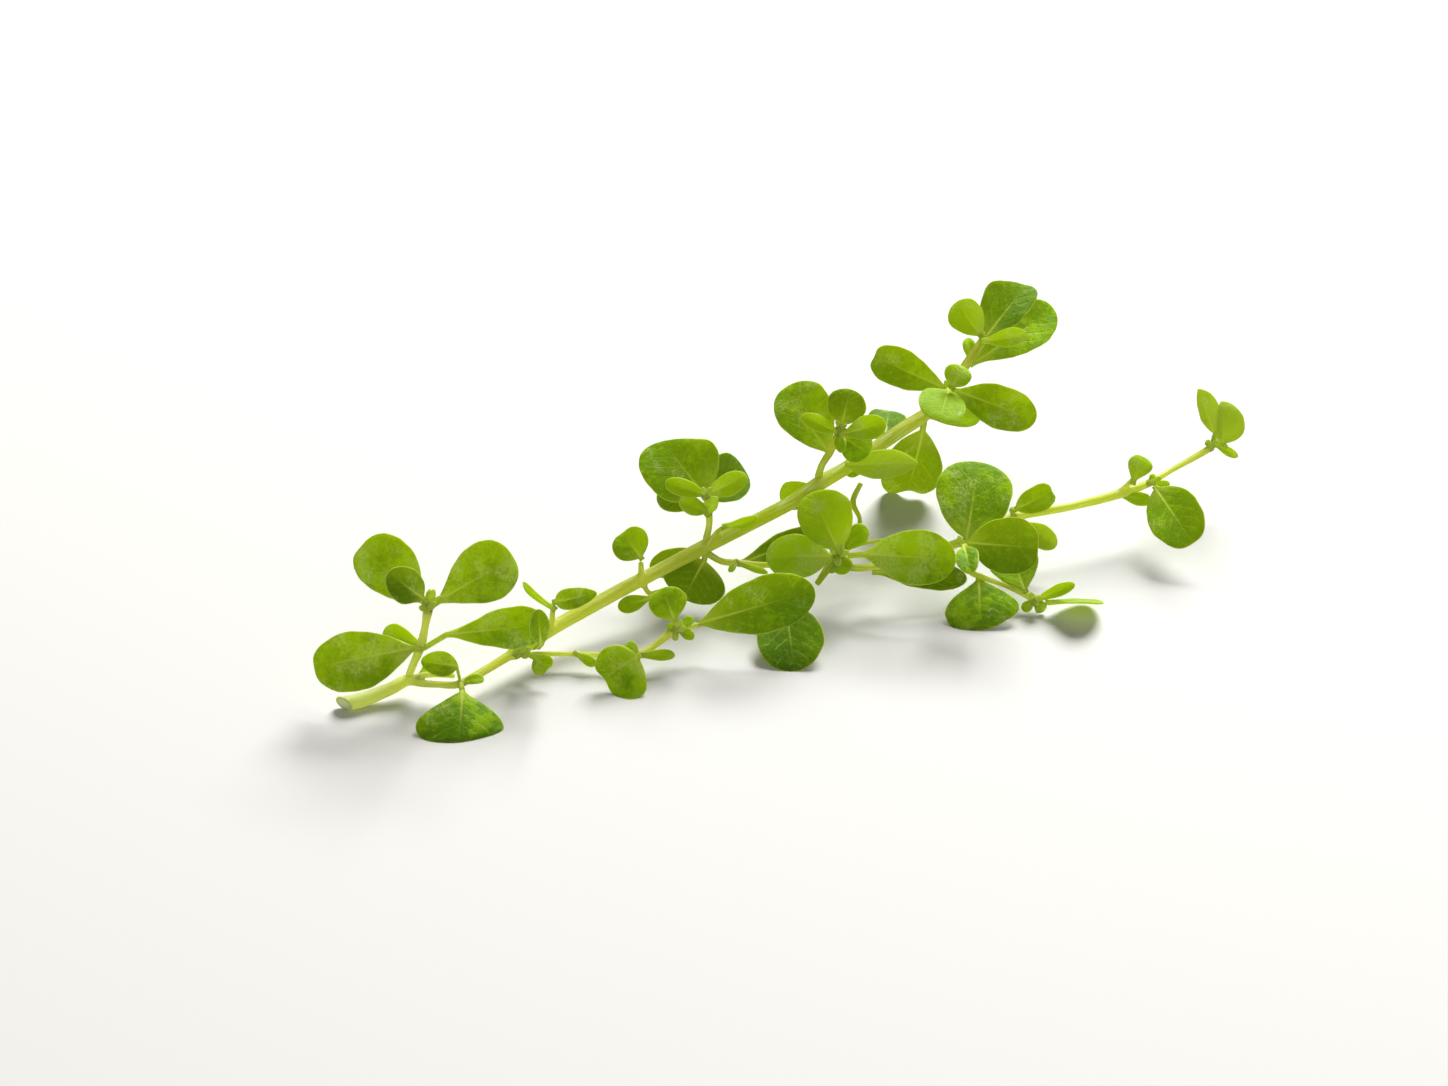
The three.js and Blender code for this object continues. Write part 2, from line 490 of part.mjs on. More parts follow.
// Every stem with a little room round it, which leaves and other stems keep clear of.
const STEMS = [MAIN_STEM, SIDE_BRANCH, LOWER_SHOOT, UPRIGHT_SHOOT, MIDDLE_SHOOT, UPPER_SHOOT, SIDE_TWIG];
const cutters = STEMS.map((stops) => stemSolid(stops, { extra: GAP, sides: CUTTER_SIDES }));

// What lies under the surface, which presses the leaves that rest on it flat.
const groundBox = new THREE.BoxGeometry(GROUND_WIDTH, GROUND_WIDTH, GROUND_DEEP);
const ground = solidOf(groundBox.translate(0, 0, -GROUND_DEEP / 2));

function largestBody(solid) {
  return solid.decompose().reduce((a, b) => (a.volume() > b.volume() ? a : b));
}

function clearOf(solid, obstacles) {
  return largestBody(obstacles.reduce((rest, obstacle) => rest.subtract(obstacle), solid));
}

function finish(color) {
  return new THREE.MeshStandardMaterial({ color, roughness: 0.45, metalness: 0 });
}

// A mesh whose geometry is in its own frame, placed by its position and rotation.
function meshIn(frame, name, solid, color) {
  const mesh = new THREE.Mesh(geometryOf(solid), finish(color));
  mesh.name = name;
  mesh.geometry.applyMatrix4(frame.clone().invert());
  frame.decompose(mesh.position, mesh.quaternion, mesh.scale);
  return mesh;
}

// A stem with the short strands, buds and small leaves that grow on it, joined in one piece.
function stemMesh(name, stops, details) {
  const { strands = [], buds = [], clear = [], oblique = false, color = GREENS.shoot } = details;
  const stem = clearOf(stemSolid(stops, { oblique }), clear);
  const growths = [
    ...strands.map((strand) => stemSolid(strand, { sides: STRAND_SIDES, steps: 1 })),
    ...buds.map((bud) => bladeSolid(bud, SMALL_ROWS, SMALL_COLUMNS)),
  ];
  const joined = growths.reduce((whole, growth) => whole.add(growth), stem);
  const start = place(stops[0]);
  return meshIn(new THREE.Matrix4().setPosition(start), name, clearOf(joined, [ground]), color);
}

function leafMesh(leaf) {
  const { frame, root } = bladeSurface(leaf);
  const solid = clearOf(bladeSolid(leaf, LARGE_ROWS, LARGE_COLUMNS), [ground, ...cutters]);
  const turned = new THREE.Matrix4().makeBasis(frame.along, frame.across, frame.up).setPosition(root);
  return meshIn(turned, leaf.name, solid, GREENS[leaf.tone ?? "leaf"]);
}

function shoot(stem, ...leaves) {
  return new THREE.Group().add(stem, ...leaves.flat().map(leafMesh));
}

const [mainCutter, branchCutter] = cutters;
const sprig = new THREE.Group();
sprig.name = "water_hyssop_sprig";
sprig.add(
  shoot(
    stemMesh("main_stem", MAIN_STEM, {
      strands: MAIN_STRANDS,
      buds: MAIN_BUDS,
      oblique: true,
      color: GREENS.stem,
    }),
    BASE_LEAVES,
    STEM_LEAVES,
    HEAD_LEAVES,
  ),
  shoot(
    stemMesh("upright_shoot_stem", UPRIGHT_SHOOT, { buds: UPRIGHT_BUDS, clear: [mainCutter] }),
    UPRIGHT_LEAVES,
  ),
  shoot(stemMesh("lower_shoot_stem", LOWER_SHOOT, { buds: LOWER_BUDS, clear: [mainCutter] }), LOWER_LEAVES),
  shoot(
    stemMesh("middle_shoot_stem", MIDDLE_SHOOT, { buds: MIDDLE_BUDS, clear: [mainCutter] }),
    MIDDLE_LEAVES,
  ),
  shoot(stemMesh("upper_shoot_stem", UPPER_SHOOT, { buds: UPPER_BUDS, clear: [mainCutter] }), UPPER_LEAVES),
  shoot(
    stemMesh("side_branch_stem", SIDE_BRANCH, {
      strands: BRANCH_STRANDS,
      buds: BRANCH_BUDS,
      clear: [mainCutter],
    }),
    BRANCH_LEAVES,
    CLUSTER_LEAVES,
    END_LEAVES,
  ),
  shoot(stemMesh("side_twig_stem", SIDE_TWIG, { buds: TWIG_BUDS, clear: [branchCutter] }), TWIG_LEAVES),
);
export default sprig;
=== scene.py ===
"""A cut sprig of water hyssop, lying on a white surface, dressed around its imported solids.

Places are given as they show in the photograph's frame: pixel x, pixel y, and the height above the
surface in millimetres. Meshes are worked out in millimetres and scaled to metres at the end.
"""

import math

import bpy
import numpy as np
from bpy.props import FloatProperty, FloatVectorProperty, IntProperty, PointerProperty
from mathutils import Matrix, Vector
from mathutils.kdtree import KDTree


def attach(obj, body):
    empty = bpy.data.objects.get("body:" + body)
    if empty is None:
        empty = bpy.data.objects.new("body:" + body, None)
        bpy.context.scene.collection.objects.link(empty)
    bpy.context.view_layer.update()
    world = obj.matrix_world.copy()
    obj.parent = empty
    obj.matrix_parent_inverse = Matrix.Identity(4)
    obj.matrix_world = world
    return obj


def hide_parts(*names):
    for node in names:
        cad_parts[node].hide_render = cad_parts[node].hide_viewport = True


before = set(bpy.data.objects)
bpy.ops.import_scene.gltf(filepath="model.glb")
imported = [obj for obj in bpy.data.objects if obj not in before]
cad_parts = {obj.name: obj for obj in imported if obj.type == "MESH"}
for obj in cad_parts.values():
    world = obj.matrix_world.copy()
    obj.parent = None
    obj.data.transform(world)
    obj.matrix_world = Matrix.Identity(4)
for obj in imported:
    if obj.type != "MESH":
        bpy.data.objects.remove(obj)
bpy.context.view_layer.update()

bl_info = {
    "name": "Water Hyssop Sprig",
    "version": (1, 0, 0),
    "blender": (4, 5, 0),
    "location": "View3D > Sidebar > Hyssop",
    "description": "Makes a cut sprig of water hyssop around its packed solids",
    "category": "Add Mesh",
}

# Scale: the longest leaf, about 120 pixels, is taken as 19.5 mm, as on a well grown plant.
MM_PER_PIXEL = 0.164
METRES_PER_MM = 0.001

# The view in which places are read: a long lens that looks down on the surface.
FRAME_WIDTH = 1448
FRAME_HEIGHT = 1086
LENS_MM = 100
SENSOR_MM = 36
ELEVATION = math.radians(35)
ORIGIN_PIXEL = (792, 573.5)
FOCAL_PIXELS = LENS_MM / SENSOR_MM * FRAME_WIDTH
VIEW_FORWARD = np.array([0, math.cos(ELEVATION), -math.sin(ELEVATION)])
VIEW_UP = np.array([0, math.sin(ELEVATION), math.cos(ELEVATION)])
VIEW_RIGHT = np.array([1, 0, 0])

# The form that all blades share. The stalk's half width runs out at one part in STALK_TAPER of the blade,
# and the heel is the short end before the root of a leaf without a stalk, both in mm. The end arc is in
# radians, and the notch's width is a share of the blade's half width.
STALK_HALF_WIDTH = 0.5
STALK_TAPER = 2
HEEL = 0.6
END_ARC = 0.9
NOTCH_WIDTH = 0.45

# Half waves along each half of a blade, and how far one half's waves are ahead, in radians.
WAVES_ALONG = 3
WAVE_LAG = 2

# What a leaf has where its own line says nothing else. In its outline: where it is widest, how slowly its
# base widens, how pointed its tip is, its notch, its slant and how unequal its halves are (skew). Out of
# its plane: its cup and roll in degrees, its arch and wave in mm. A tint under 0.2 paints it darker and one
# over 0.8 lighter and yellower: partly the greens of old and young leaves, partly painted shade and light.
USUAL_LEAF = dict(widest=0.62, base=1, point=0, notch=0, slant=0, skew=0, cup=12, roll=0, arch=0.5,
                  wave=0.12, tint=0.6, tone="leaf")
# The tint of the rosette leaves, which paints them lighter and yellower: partly their young colour, partly
# painted light on leaves that lie in shade.
ROSETTE_TINT = 1.6

# Side veins, which show in a blade's colour and as puckers: how many there are, how far they sweep
# forward to the edge and with what curve, and how high the puckers stand, in mm.
SIDE_VEINS = 5.5
VEIN_SWEEP = 0.42
VEIN_CURVE = 1.3
PUCKER = 0.03

# Half the width of the furrow over the midrib, and the width of blade that has the full ripple, in mm.
FURROW_WIDTH = 0.45
FULL_RIPPLE_WIDTH = 5

# Each blade has a seed of its own. Those of the small leaves are counted on from a hundred for each stem.
SEEDS_PER_STEM = 100

# The oblique cut at the start of the main stem: how far it faces the view, how far that is turned down,
# and how much longer the stem is made for it. Its face goes from the middle to the rim in pairs of
# a share of the radius and a height in mm.
CUT_SLANT = math.radians(42)
CUT_LEAN = math.radians(40)
CUT_EXTRA = 1.6
CUT_PROFILE = [(0, 0.01), (0.3, 0.02), (0.55, 0.06), (0.68, 0.02), (0.8, 0.06), (0.9, 0.04), (0.94, -0.15)]
CUT_SIDES = 40

# How much the streaks of a stem are drawn out along it, and how far a joint's paleness reaches, in mm.
STREAK_STRETCH = 0.09
JOINT_REACH = 2.2

# How fine the patterns are, in features to a metre.
TINGE_SCALE = 90
CLOUD_SCALE = 190
HAZE_SCALE = 240
PATCH_SCALE = 850
NET_SCALE = 1100
GRAIN_SCALE = 2200
PORE_SCALE = 5200

# The light that comes through a leaf, a stem and the cut.
LEAF_GLOW = (0.76, 0.88, 0.03)
STEM_GLOW = (0.88, 0.94, 0.2)
PITH_GLOW = (0.95, 0.97, 0.8)

# Where the soft lights stand, as directions from the sprig, and how near the view begins, in metres.
KEY_TOWARDS = (0.4, 1.08, 1)
FILL_TOWARDS = (-0.25, -0.8, 0.75)
VIEW_START = 0.01

BODY = "root"


def linear(*shade):
    """A colour given from 0 to 255 as screens show it, as light."""
    return tuple(((c / 255 + 0.055) / 1.055) ** 2.4 if c > 10 else c / 255 / 12.92 for c in shade)


# Stops of the stems: pixel x, pixel y, height and radius in mm.
MAIN_STEM = [
    (344, 703.5, 1.22, 1.22), (360, 700.5, 1.3, 1.2), (375, 695, 1.6, 1.12), (392, 688, 2.1, 1.02),
    (408, 680, 2.7, 0.95), (419, 683, 2.9, 0.6), (438, 684.5, 3, 0.55), (455, 685, 3.1, 0.6),
    (465, 681.5, 3.2, 0.68), (489, 668, 3.5, 0.7), (507, 657, 3.8, 0.75), (516, 652, 4, 1.15),
    (551, 629, 4.7, 1.15), (582, 611.5, 5.4, 1.15), (623, 589, 6.6, 1.15), (657, 571.5, 7.5, 1.12),
    (707, 545.5, 9, 1.2), (753, 522.5, 10.6, 1.15), (791, 502.5, 12, 1.15), (820, 483, 13, 1.25),
    (846, 468, 14.2, 1.12), (874, 449, 15.6, 1.15), (903, 429, 17, 1.2), (927, 413, 18, 1.1),
    (948, 389, 20, 0.85), (966, 365, 21.9, 0.8), (982, 341, 23.7, 0.75),
]
UPRIGHT_SHOOT = [
    (409, 676, 3.2, 0.62), (413, 665, 5.2, 0.62), (421, 645.5, 8.4, 0.75), (425, 627, 11.3, 0.6),
    (428, 610, 14, 0.8), (431, 598, 15.8, 0.45),
]
LOWER_SHOOT = [
    (517, 655, 3.3, 0.45), (539, 654, 2.7, 0.42), (579, 654, 2.5, 0.42), (637, 655, 3, 0.62),
    (655, 645, 3.7, 0.55), (677, 629, 5.2, 0.75), (690, 627, 5.4, 0.5), (700, 624, 5.6, 0.5),
]
MIDDLE_SHOOT = [
    (706, 540, 10, 0.6), (709, 526, 12.4, 0.55), (709, 514, 14.6, 0.6), (706, 495, 18, 0.55),
]
UPPER_SHOOT = [
    (818, 478, 13.8, 0.65), (822, 465, 16, 0.58), (830, 452, 18.2, 0.65), (837, 436, 21, 0.6),
    (840, 425, 23, 0.5),
]
SIDE_BRANCH = [
    (704, 551, 8.2, 0.6), (721, 561, 7.4, 0.55), (737, 563, 7.4, 0.58), (770, 565, 7.2, 0.5),
    (806, 563, 7.4, 0.55), (836, 556, 8.3, 0.75), (850, 567, 7.5, 0.62), (876, 566, 7.5, 0.62),
    (914, 557, 7.8, 0.6), (963, 541, 9, 0.75), (990, 527, 8.8, 0.62), (1013, 517, 8.5, 0.75),
    (1066, 507.5, 8.4, 0.68), (1119, 494, 8.7, 0.8), (1149, 483, 9, 0.68), (1170, 471, 9.4, 0.48),
    (1207, 450, 10.2, 0.6), (1217, 443, 11, 0.5),
]
SIDE_TWIG = [
    (966, 551, 8, 0.5), (970, 571, 5.6, 0.52), (982, 577, 5, 0.5), (1004, 585, 3.8, 0.42),
    (1024, 594, 2.6, 0.5), (1034, 600, 1.8, 0.55), (1043, 602, 1.6, 0.4),
]

# Short side stems that are one piece with a longer one.
MAIN_STRANDS = [
    [(406, 680, 3, 0.5), (425, 675, 3.9, 0.52), (441, 674.5, 4, 0.5), (455, 676, 3.9, 0.42)],
    [(551, 630, 4.9, 0.5), (552, 620, 6.8, 0.48), (553, 607, 9, 0.4)],
    [(640, 581, 7.2, 0.6), (641, 571, 8.6, 0.5), (641, 562, 10, 0.45)],
    [(642, 580, 6.8, 0.5), (649, 593, 5.6, 0.42), (660, 591, 5.2, 0.35)],
    [(708, 545, 9.6, 0.5), (718, 531, 11.2, 0.38), (729, 525, 12.2, 0.33)],
]
BRANCH_STRANDS = [
    [(836, 556, 8.4, 0.6), (828, 568, 7.4, 0.68), (817, 584, 6.3, 0.5)],
    [(837, 556, 8.3, 0.6), (846, 549, 8.2, 0.5), (860, 544, 8.1, 0.42), (884, 540, 8, 0.36)],
    [
        (837, 556, 8.4, 0.6), (850, 543, 9.4, 0.45), (860, 521, 12, 0.38), (853, 502, 14.6, 0.5),
        (861, 483, 17.2, 0.44),
    ],
    [(1118, 493, 9, 0.5), (1127, 485, 10, 0.42), (1134, 478, 11, 0.4)],
]

# Places on the stems where leaf pairs and shoots grow, which are paler than the rest.
JOINTS = [
    (408, 680, 2.7), (462, 683, 3.2), (516, 652, 4), (551, 629, 4.7), (641, 580, 7), (707, 545.5, 9),
    (820, 483, 13), (874, 449, 15.6), (903, 429, 17), (927, 413, 18), (948, 389, 20), (982, 341, 23.7),
    (421, 645.5, 8.4), (428, 610, 14), (637, 655, 3), (677, 629, 5.2), (709, 514, 14.6),
    (830, 452, 18.2), (737, 563, 7.4), (836, 556, 8.3), (963, 541, 9), (1013, 517, 8.5),
    (1119, 494, 8.7), (1149, 483, 9), (1034, 600, 1.8),
]

# Leaves: places of the stalk, root and tip, and the width in mm.
# The shaded_leaf tone is painted shade, for leaves that lie in shadow under the stems and other leaves.
LEAVES = [
    dict(name="upright_leaf_left", stalk=(426, 609, 14), root=(423, 602, 15.4), tip=(358, 546, 21),
         width=9.2, skew=-0.16, cup=10, arch=0.8, notch=0.03, base=0.85, widest=0.6, tint=0.5),
    dict(name="upright_leaf_front", root=(422, 598, 17.2), tip=(388, 572, 22.8), width=5.8, cup=14,
         arch=0.3, widest=0.55, base=0.7, tone="shaded_leaf", tint=0.5),
    dict(name="upright_leaf_right", stalk=(430, 608, 14.2), root=(437, 602, 15.2), tip=(515, 556, 20.6),
         width=9.8, skew=0.04, arch=0.8, notch=0.02, base=1.1, widest=0.66, tint=0.75),
    dict(name="upright_leaf_low_left", stalk=(420, 649, 8.2), root=(414, 648, 9.2), tip=(311, 668, 6.6),
         width=9.6, arch=0.9, notch=0.03, base=0.9, widest=0.6, point=0.08, skew=0.06),
    dict(name="upright_leaf_low_right", stalk=(424, 648, 8.2), root=(446, 635, 10.2),
         tip=(546, 624, 8.6), width=7, cup=16, arch=0.7, base=1.1, widest=0.68, tint=0.75),
    dict(name="base_leaf_small", stalk=(460, 680, 3.8), root=(457, 666, 5.6), tip=(421, 661, 6),
         width=4.1, widest=0.4, base=0.6, point=0.2),
    dict(name="base_leaf_fan", stalk=(461, 684, 3.4), root=(463, 692, 3), tip=(459, 743, -0.1),
         width=13.9, slant=0.12, cup=-10, arch=0.9, base=1.1, widest=0.68, point=0.1, tint=0.5),
    dict(name="joint_leaf_front", stalk=(536, 650, 4.8), root=(541, 645, 7.8), tip=(538, 609, 15.4),
         width=3.3, base=0.8, tone="shaded_leaf", tint=0.4),
    dict(name="joint_leaf_heart", stalk=(527, 653, 3.9), root=(536, 658, 3.9), tip=(549, 671, 2.6),
         width=3.8, base=0.6, notch=0.1),
    dict(name="joint_leaf_up", root=(556, 602, 9.6), tip=(597, 593, 11), width=3.5, widest=0.36,
         base=0.5, point=0.3, tint=0.35),
    dict(name="lower_leaf_heart", root=(637, 656, 4.2), tip=(599, 682, 1.2), width=9.8, base=0.55,
         widest=0.5, notch=0.13, skew=0.2),
    dict(name="lower_leaf_up", stalk=(676, 624, 6.9), root=(674, 619, 7.6), tip=(662, 588, 11.8),
         width=6.3, base=0.75, widest=0.55),
    dict(name="lower_leaf_long", root=(701, 623, 5.7), tip=(815, 590, 9.6), width=9.2, cup=10, arch=1.2,
         base=0.85, widest=0.6, point=0.05, tint=0.15),
    dict(name="lower_leaf_under", stalk=(783, 572, 6.2), root=(786, 606, 4.4), tip=(795, 672, -0.1),
         width=10.9, cup=8, base=0.7, widest=0.56, tint=-0.8),
    dict(name="stem_leaf_stalked", root=(640.5, 557, 10.8), tip=(621, 531, 14.2), width=6.3, base=0.6,
         widest=0.52, notch=0.07, tint=0.4),
    dict(name="stem_leaf_hanging", stalk=(706, 553, 7.6), root=(704, 561, 6.4), tip=(683, 599, 1.8),
         width=11, cup=8, arch=0.6, base=0.6, widest=0.52, tone="shaded_leaf", tint=0.0),
    dict(name="stem_leaf_behind", root=(702, 552, 6.6), tip=(650, 570, 3.6), width=4.6, base=0.7,
         tone="shaded_leaf", tint=0.0),
    dict(name="stem_leaf_sheath", root=(849, 465, 16.4), tip=(918, 463, 17.6), width=4.9, cup=6,
         arch=0.4, point=0.5, tone="pale_leaf", base=0.6, widest=0.55),
    dict(name="stem_leaf_prop", stalk=(925, 420, 16.2), root=(923, 431, 14), tip=(907, 498, -0.9),
         width=10.2, skew=-0.05, slant=0.12, cup=4, arch=0.8, base=0.7, notch=0.13, tone="shaded_leaf",
         tint=0.2, widest=0.58),
    dict(name="head_leaf_left", root=(944, 388, 21.2), tip=(871, 355, 23), width=6.7, arch=0.9,
         notch=0.05, base=0.85, tint=0.1),
    dict(name="head_leaf_right", root=(957, 391, 20.6), tip=(1036, 420, 19.6), width=7.3, cup=10,
         arch=0.9, base=0.85, point=-0.1, tint=0.4),
    dict(name="head_leaf_round", root=(953, 386, 23), tip=(962, 366, 25.2), width=4.7, base=0.55,
         widest=0.5, tone="young_leaf", tint=0.3),
    dict(name="head_leaf_front", root=(948, 392, 21.6), tip=(938, 424, 21), width=8, base=0.55,
         widest=0.52, notch=0.1, cup=6, tone="young_leaf", tint=-0.3, skew=-0.1),
    dict(name="tip_leaf_right", root=(986, 336, 25), tip=(1026, 285, 29.2), width=8.4, skew=0.24,
         slant=0.18, base=0.7, arch=0.7, tint=-0.5),
    dict(name="tip_leaf_left", root=(980, 335, 25.6), tip=(956, 302, 30), width=6, base=0.75, arch=0.4,
         tone="young_leaf", tint=0.7),
    dict(name="tip_leaf_front", root=(985, 341, 25.4), tip=(1028, 335, 28.2), width=3.3, arch=0.3,
         tone="young_leaf"),
    dict(name="tip_leaf_back", root=(973, 363, 20.6), tip=(1054, 309, 22.6), width=8.1, arch=1,
         tint=0.3),
    dict(name="middle_leaf_left", root=(703, 494, 17.6), tip=(663, 441, 22.3), width=12.6,
         cup=8, arch=0.7, base=0.5, widest=0.5, tint=0.2, slant=-0.26),
    dict(name="middle_leaf_back", root=(706, 497, 15.6), tip=(746, 472, 15), width=8.2, base=0.7,
         widest=0.55, tone="shaded_leaf", tint=-0.9, skew=0.2),
    dict(name="middle_leaf_right", root=(710, 493, 19.2), tip=(747, 476, 22), width=3.8, base=0.75,
         widest=0.56, tone="young_leaf", tint=0.3),
    dict(name="middle_leaf_low", root=(704, 506, 14), tip=(657, 495, 13.4), width=4.4,
         tone="shaded_leaf", tint=0.0),
    dict(name="upper_leaf_left", root=(828, 451, 17.8), tip=(783, 389, 23.6), width=9.5, skew=-0.18,
         cup=8, arch=0.8, base=0.8, widest=0.62, tint=0.5),
    dict(name="upper_leaf_up", root=(842, 424, 23.2), tip=(850, 389, 28), width=6.6, base=0.65,
         widest=0.56, tint=-1.0),
    dict(name="upper_leaf_right", root=(843, 434, 22.6), tip=(886, 423, 25), width=4.2,
         tone="young_leaf", tint=0.5),
    dict(name="upper_leaf_back", root=(884, 443, 14.4), tip=(889, 411, 14.6), width=6.8,
         tone="shaded_leaf", tint=0.1, base=0.6, widest=0.55),
    dict(name="upper_leaf_front", root=(845, 438, 20.4), tip=(869, 454, 19), width=5.8, base=0.6),
    dict(name="branch_leaf_behind", root=(741, 563, 6.4), tip=(818, 533, 8), width=4.8,
         tone="shaded_leaf", tint=0.1),
    dict(name="branch_leaf_left", root=(829, 556, 9.6), tip=(766, 557, 8.8), width=7.2, base=0.65,
         widest=0.55, arch=0.6, cup=6, tint=1.4),
    dict(name="branch_leaf_up", root=(838, 550, 11), tip=(811, 493, 18.2), width=9.1, skew=-0.12,
         base=0.7, widest=0.6, arch=0.7, tone="young_leaf"),
    dict(name="branch_leaf_right", stalk=(848, 555, 9.6), root=(863, 554, 10), tip=(956, 560, 10.2),
         width=9.1, cup=8, arch=1, base=0.95, widest=0.6, tint=0.8),
    dict(name="branch_leaf_under", root=(876, 572, 6), tip=(967, 579, 4.2), width=4.6,
         tone="shaded_leaf", tint=0.1),
    dict(name="cluster_leaf_top", root=(967, 538, 10.2), tip=(979, 462, 17.4), width=12.5, cup=8,
         arch=0.9, base=0.65, widest=0.58, tint=0.3),
    dict(name="cluster_leaf_right", root=(969, 543, 10.8), tip=(1042, 548, 12), width=9.4, cup=8,
         arch=0.8, base=0.7, notch=0.05, tint=-0.7),
    dict(name="cluster_leaf_small", root=(965, 548, 11), tip=(971, 574, 10.8), width=3.9, base=0.6,
         widest=0.52),
    dict(name="cluster_leaf_low", root=(1025, 589, 3.6), tip=(1008, 546, 6.4), width=8.4, base=0.75,
         tint=0.3),
    dict(name="cluster_leaf_front", root=(979, 580, 4.4), tip=(981, 631, -0.1), width=12, cup=-6,
         arch=0.8, base=1.05, widest=0.6, tint=0.3, skew=0.06, slant=0.12),
    dict(name="cluster_leaf_up", root=(1017, 509, 10), tip=(1055, 490, 12.8), width=4.5, base=0.6,
         notch=0.07),
    dict(name="cluster_leaf_pale", root=(1024, 523, 7.4), tip=(1056, 547, 5.6), width=3.9,
         tone="pale_leaf"),
    dict(name="end_leaf_hanging", root=(1157, 489, 8.8), tip=(1195, 546, 5.4), width=9.1, cup=8,
         arch=0.7, base=0.65, widest=0.55, notch=0.04, tint=0),
    dict(name="end_leaf_left", stalk=(1213, 443, 10.6), root=(1215, 433, 11.8), tip=(1198, 389, 16),
         width=4.9, roll=40, arch=0, cup=4, tone="pale_leaf", widest=0.5, base=0.7, point=0.6,
         skew=-0.3),
    dict(name="end_leaf_right", root=(1222, 443, 12.8), tip=(1222, 401, 18.4), width=4.8, roll=-20,
         widest=0.36, base=0.5, tone="pale_leaf", skew=-0.5),
    dict(name="twig_leaf_flat", root=(1049, 602, 2.1), tip=(1104, 603, 2.6), width=7.6, roll=86,
         arch=0.15, cup=2, wave=0, tone="pale_leaf"),
]


def small_leaf(root, tip, width, **shape):
    """The places of a small leaf's root and tip, its width in mm and what is unusual about its shape."""
    return dict(root=root, tip=tip, width=width, **shape)


# Small folded leaves that grow on each stem.
MAIN_BUDS = [
    small_leaf((419, 677, 3.5), (431, 661, 4.6), 1.2),
    small_leaf((462, 683, 3.2), (484, 679, 3.4), 1.9, roll=25),
    small_leaf((553, 608, 8.9), (523, 582, 12.6), 1.6, roll=40),
    small_leaf((650, 598, 5.5), (618, 608, 4.4), 2.9, tint=-0.4),
    small_leaf((726, 526, 12), (758, 517, 13.6), 2, roll=-25, tint=-0.2),
    small_leaf((815, 486, 12.6), (781, 501, 10.2), 5, tint=-0.3),
    small_leaf((870, 455, 14.6), (846, 475, 11.6), 3, tint=-0.3),
    small_leaf((926, 416, 17.4), (980, 418, 16.4), 4.2, roll=20),
    small_leaf((971, 361, 21.6), (968, 338, 24), 2.2),
]
UPRIGHT_BUDS = [
    small_leaf((421, 644, 8.4), (383, 632, 8.4), 3.8),
    small_leaf((428, 609, 14.2), (430, 589, 17.6), 1.3),
    small_leaf((429, 609, 14.2), (441, 600, 16), 1.2, roll=30),
]
LOWER_BUDS = [
    small_leaf((577, 654, 2.5), (596, 665, 1.4), 1.8),
    small_leaf((638, 655, 3.1), (675, 655, 2.2), 1.9),
    small_leaf((638, 656, 3), (627, 643, 4.6), 2.2),
    small_leaf((676, 630, 5.2), (667, 626, 5.8), 1.7),
    small_leaf((678, 629, 5.3), (694, 638, 4.2), 1.8),
    small_leaf((679, 629, 5.3), (693, 617, 7), 1.7),
]
MIDDLE_BUDS = [
    small_leaf((706, 495, 18.4), (665, 482, 21.6), 3),
    small_leaf((708, 512, 15.2), (679, 501, 18.4), 3),
    small_leaf((708, 513, 15), (716, 496, 18.6), 2),
]
UPPER_BUDS = [
    small_leaf((838, 432, 21.8), (801, 416, 25.4), 2.8),
    small_leaf((839, 434, 21.2), (842, 453, 19.6), 2),
]
BRANCH_BUDS = [
    small_leaf((845, 549, 8.8), (866, 526, 12), 3.6),
    small_leaf((838, 555, 8.6), (846, 574, 6.6), 3.4),
    small_leaf((836, 556, 8.4), (828, 573, 6.6), 2.6),
    small_leaf((737, 563, 7.4), (768, 573, 6.6), 1.2),
    small_leaf((736, 563, 7.5), (729, 572, 6.6), 1.1),
    small_leaf((1120, 495, 8.2), (1151, 501, 7), 2.4),
    small_leaf((1133, 481, 10.8), (1139, 455, 14), 4.2, roll=-15, skew=-0.2, tint=0.4),
    small_leaf((1150, 483, 9.2), (1170, 484, 8.8), 1.2),
    small_leaf((1150, 482, 9.2), (1154, 474, 10.4), 1.1),
    small_leaf((1215, 444, 10.8), (1238, 457, 9.8), 1.6),
    small_leaf((1210, 448, 10.4), (1207, 440, 11.6), 1.2),
]
TWIG_BUDS = [
    small_leaf((1037, 599, 2), (1075, 584, 5), 2.1),
    small_leaf((1033, 600, 1.8), (1023, 611, 0.4), 1.8),
    small_leaf((1035, 601, 1.8), (1044, 611, 0.4), 2.2),
]

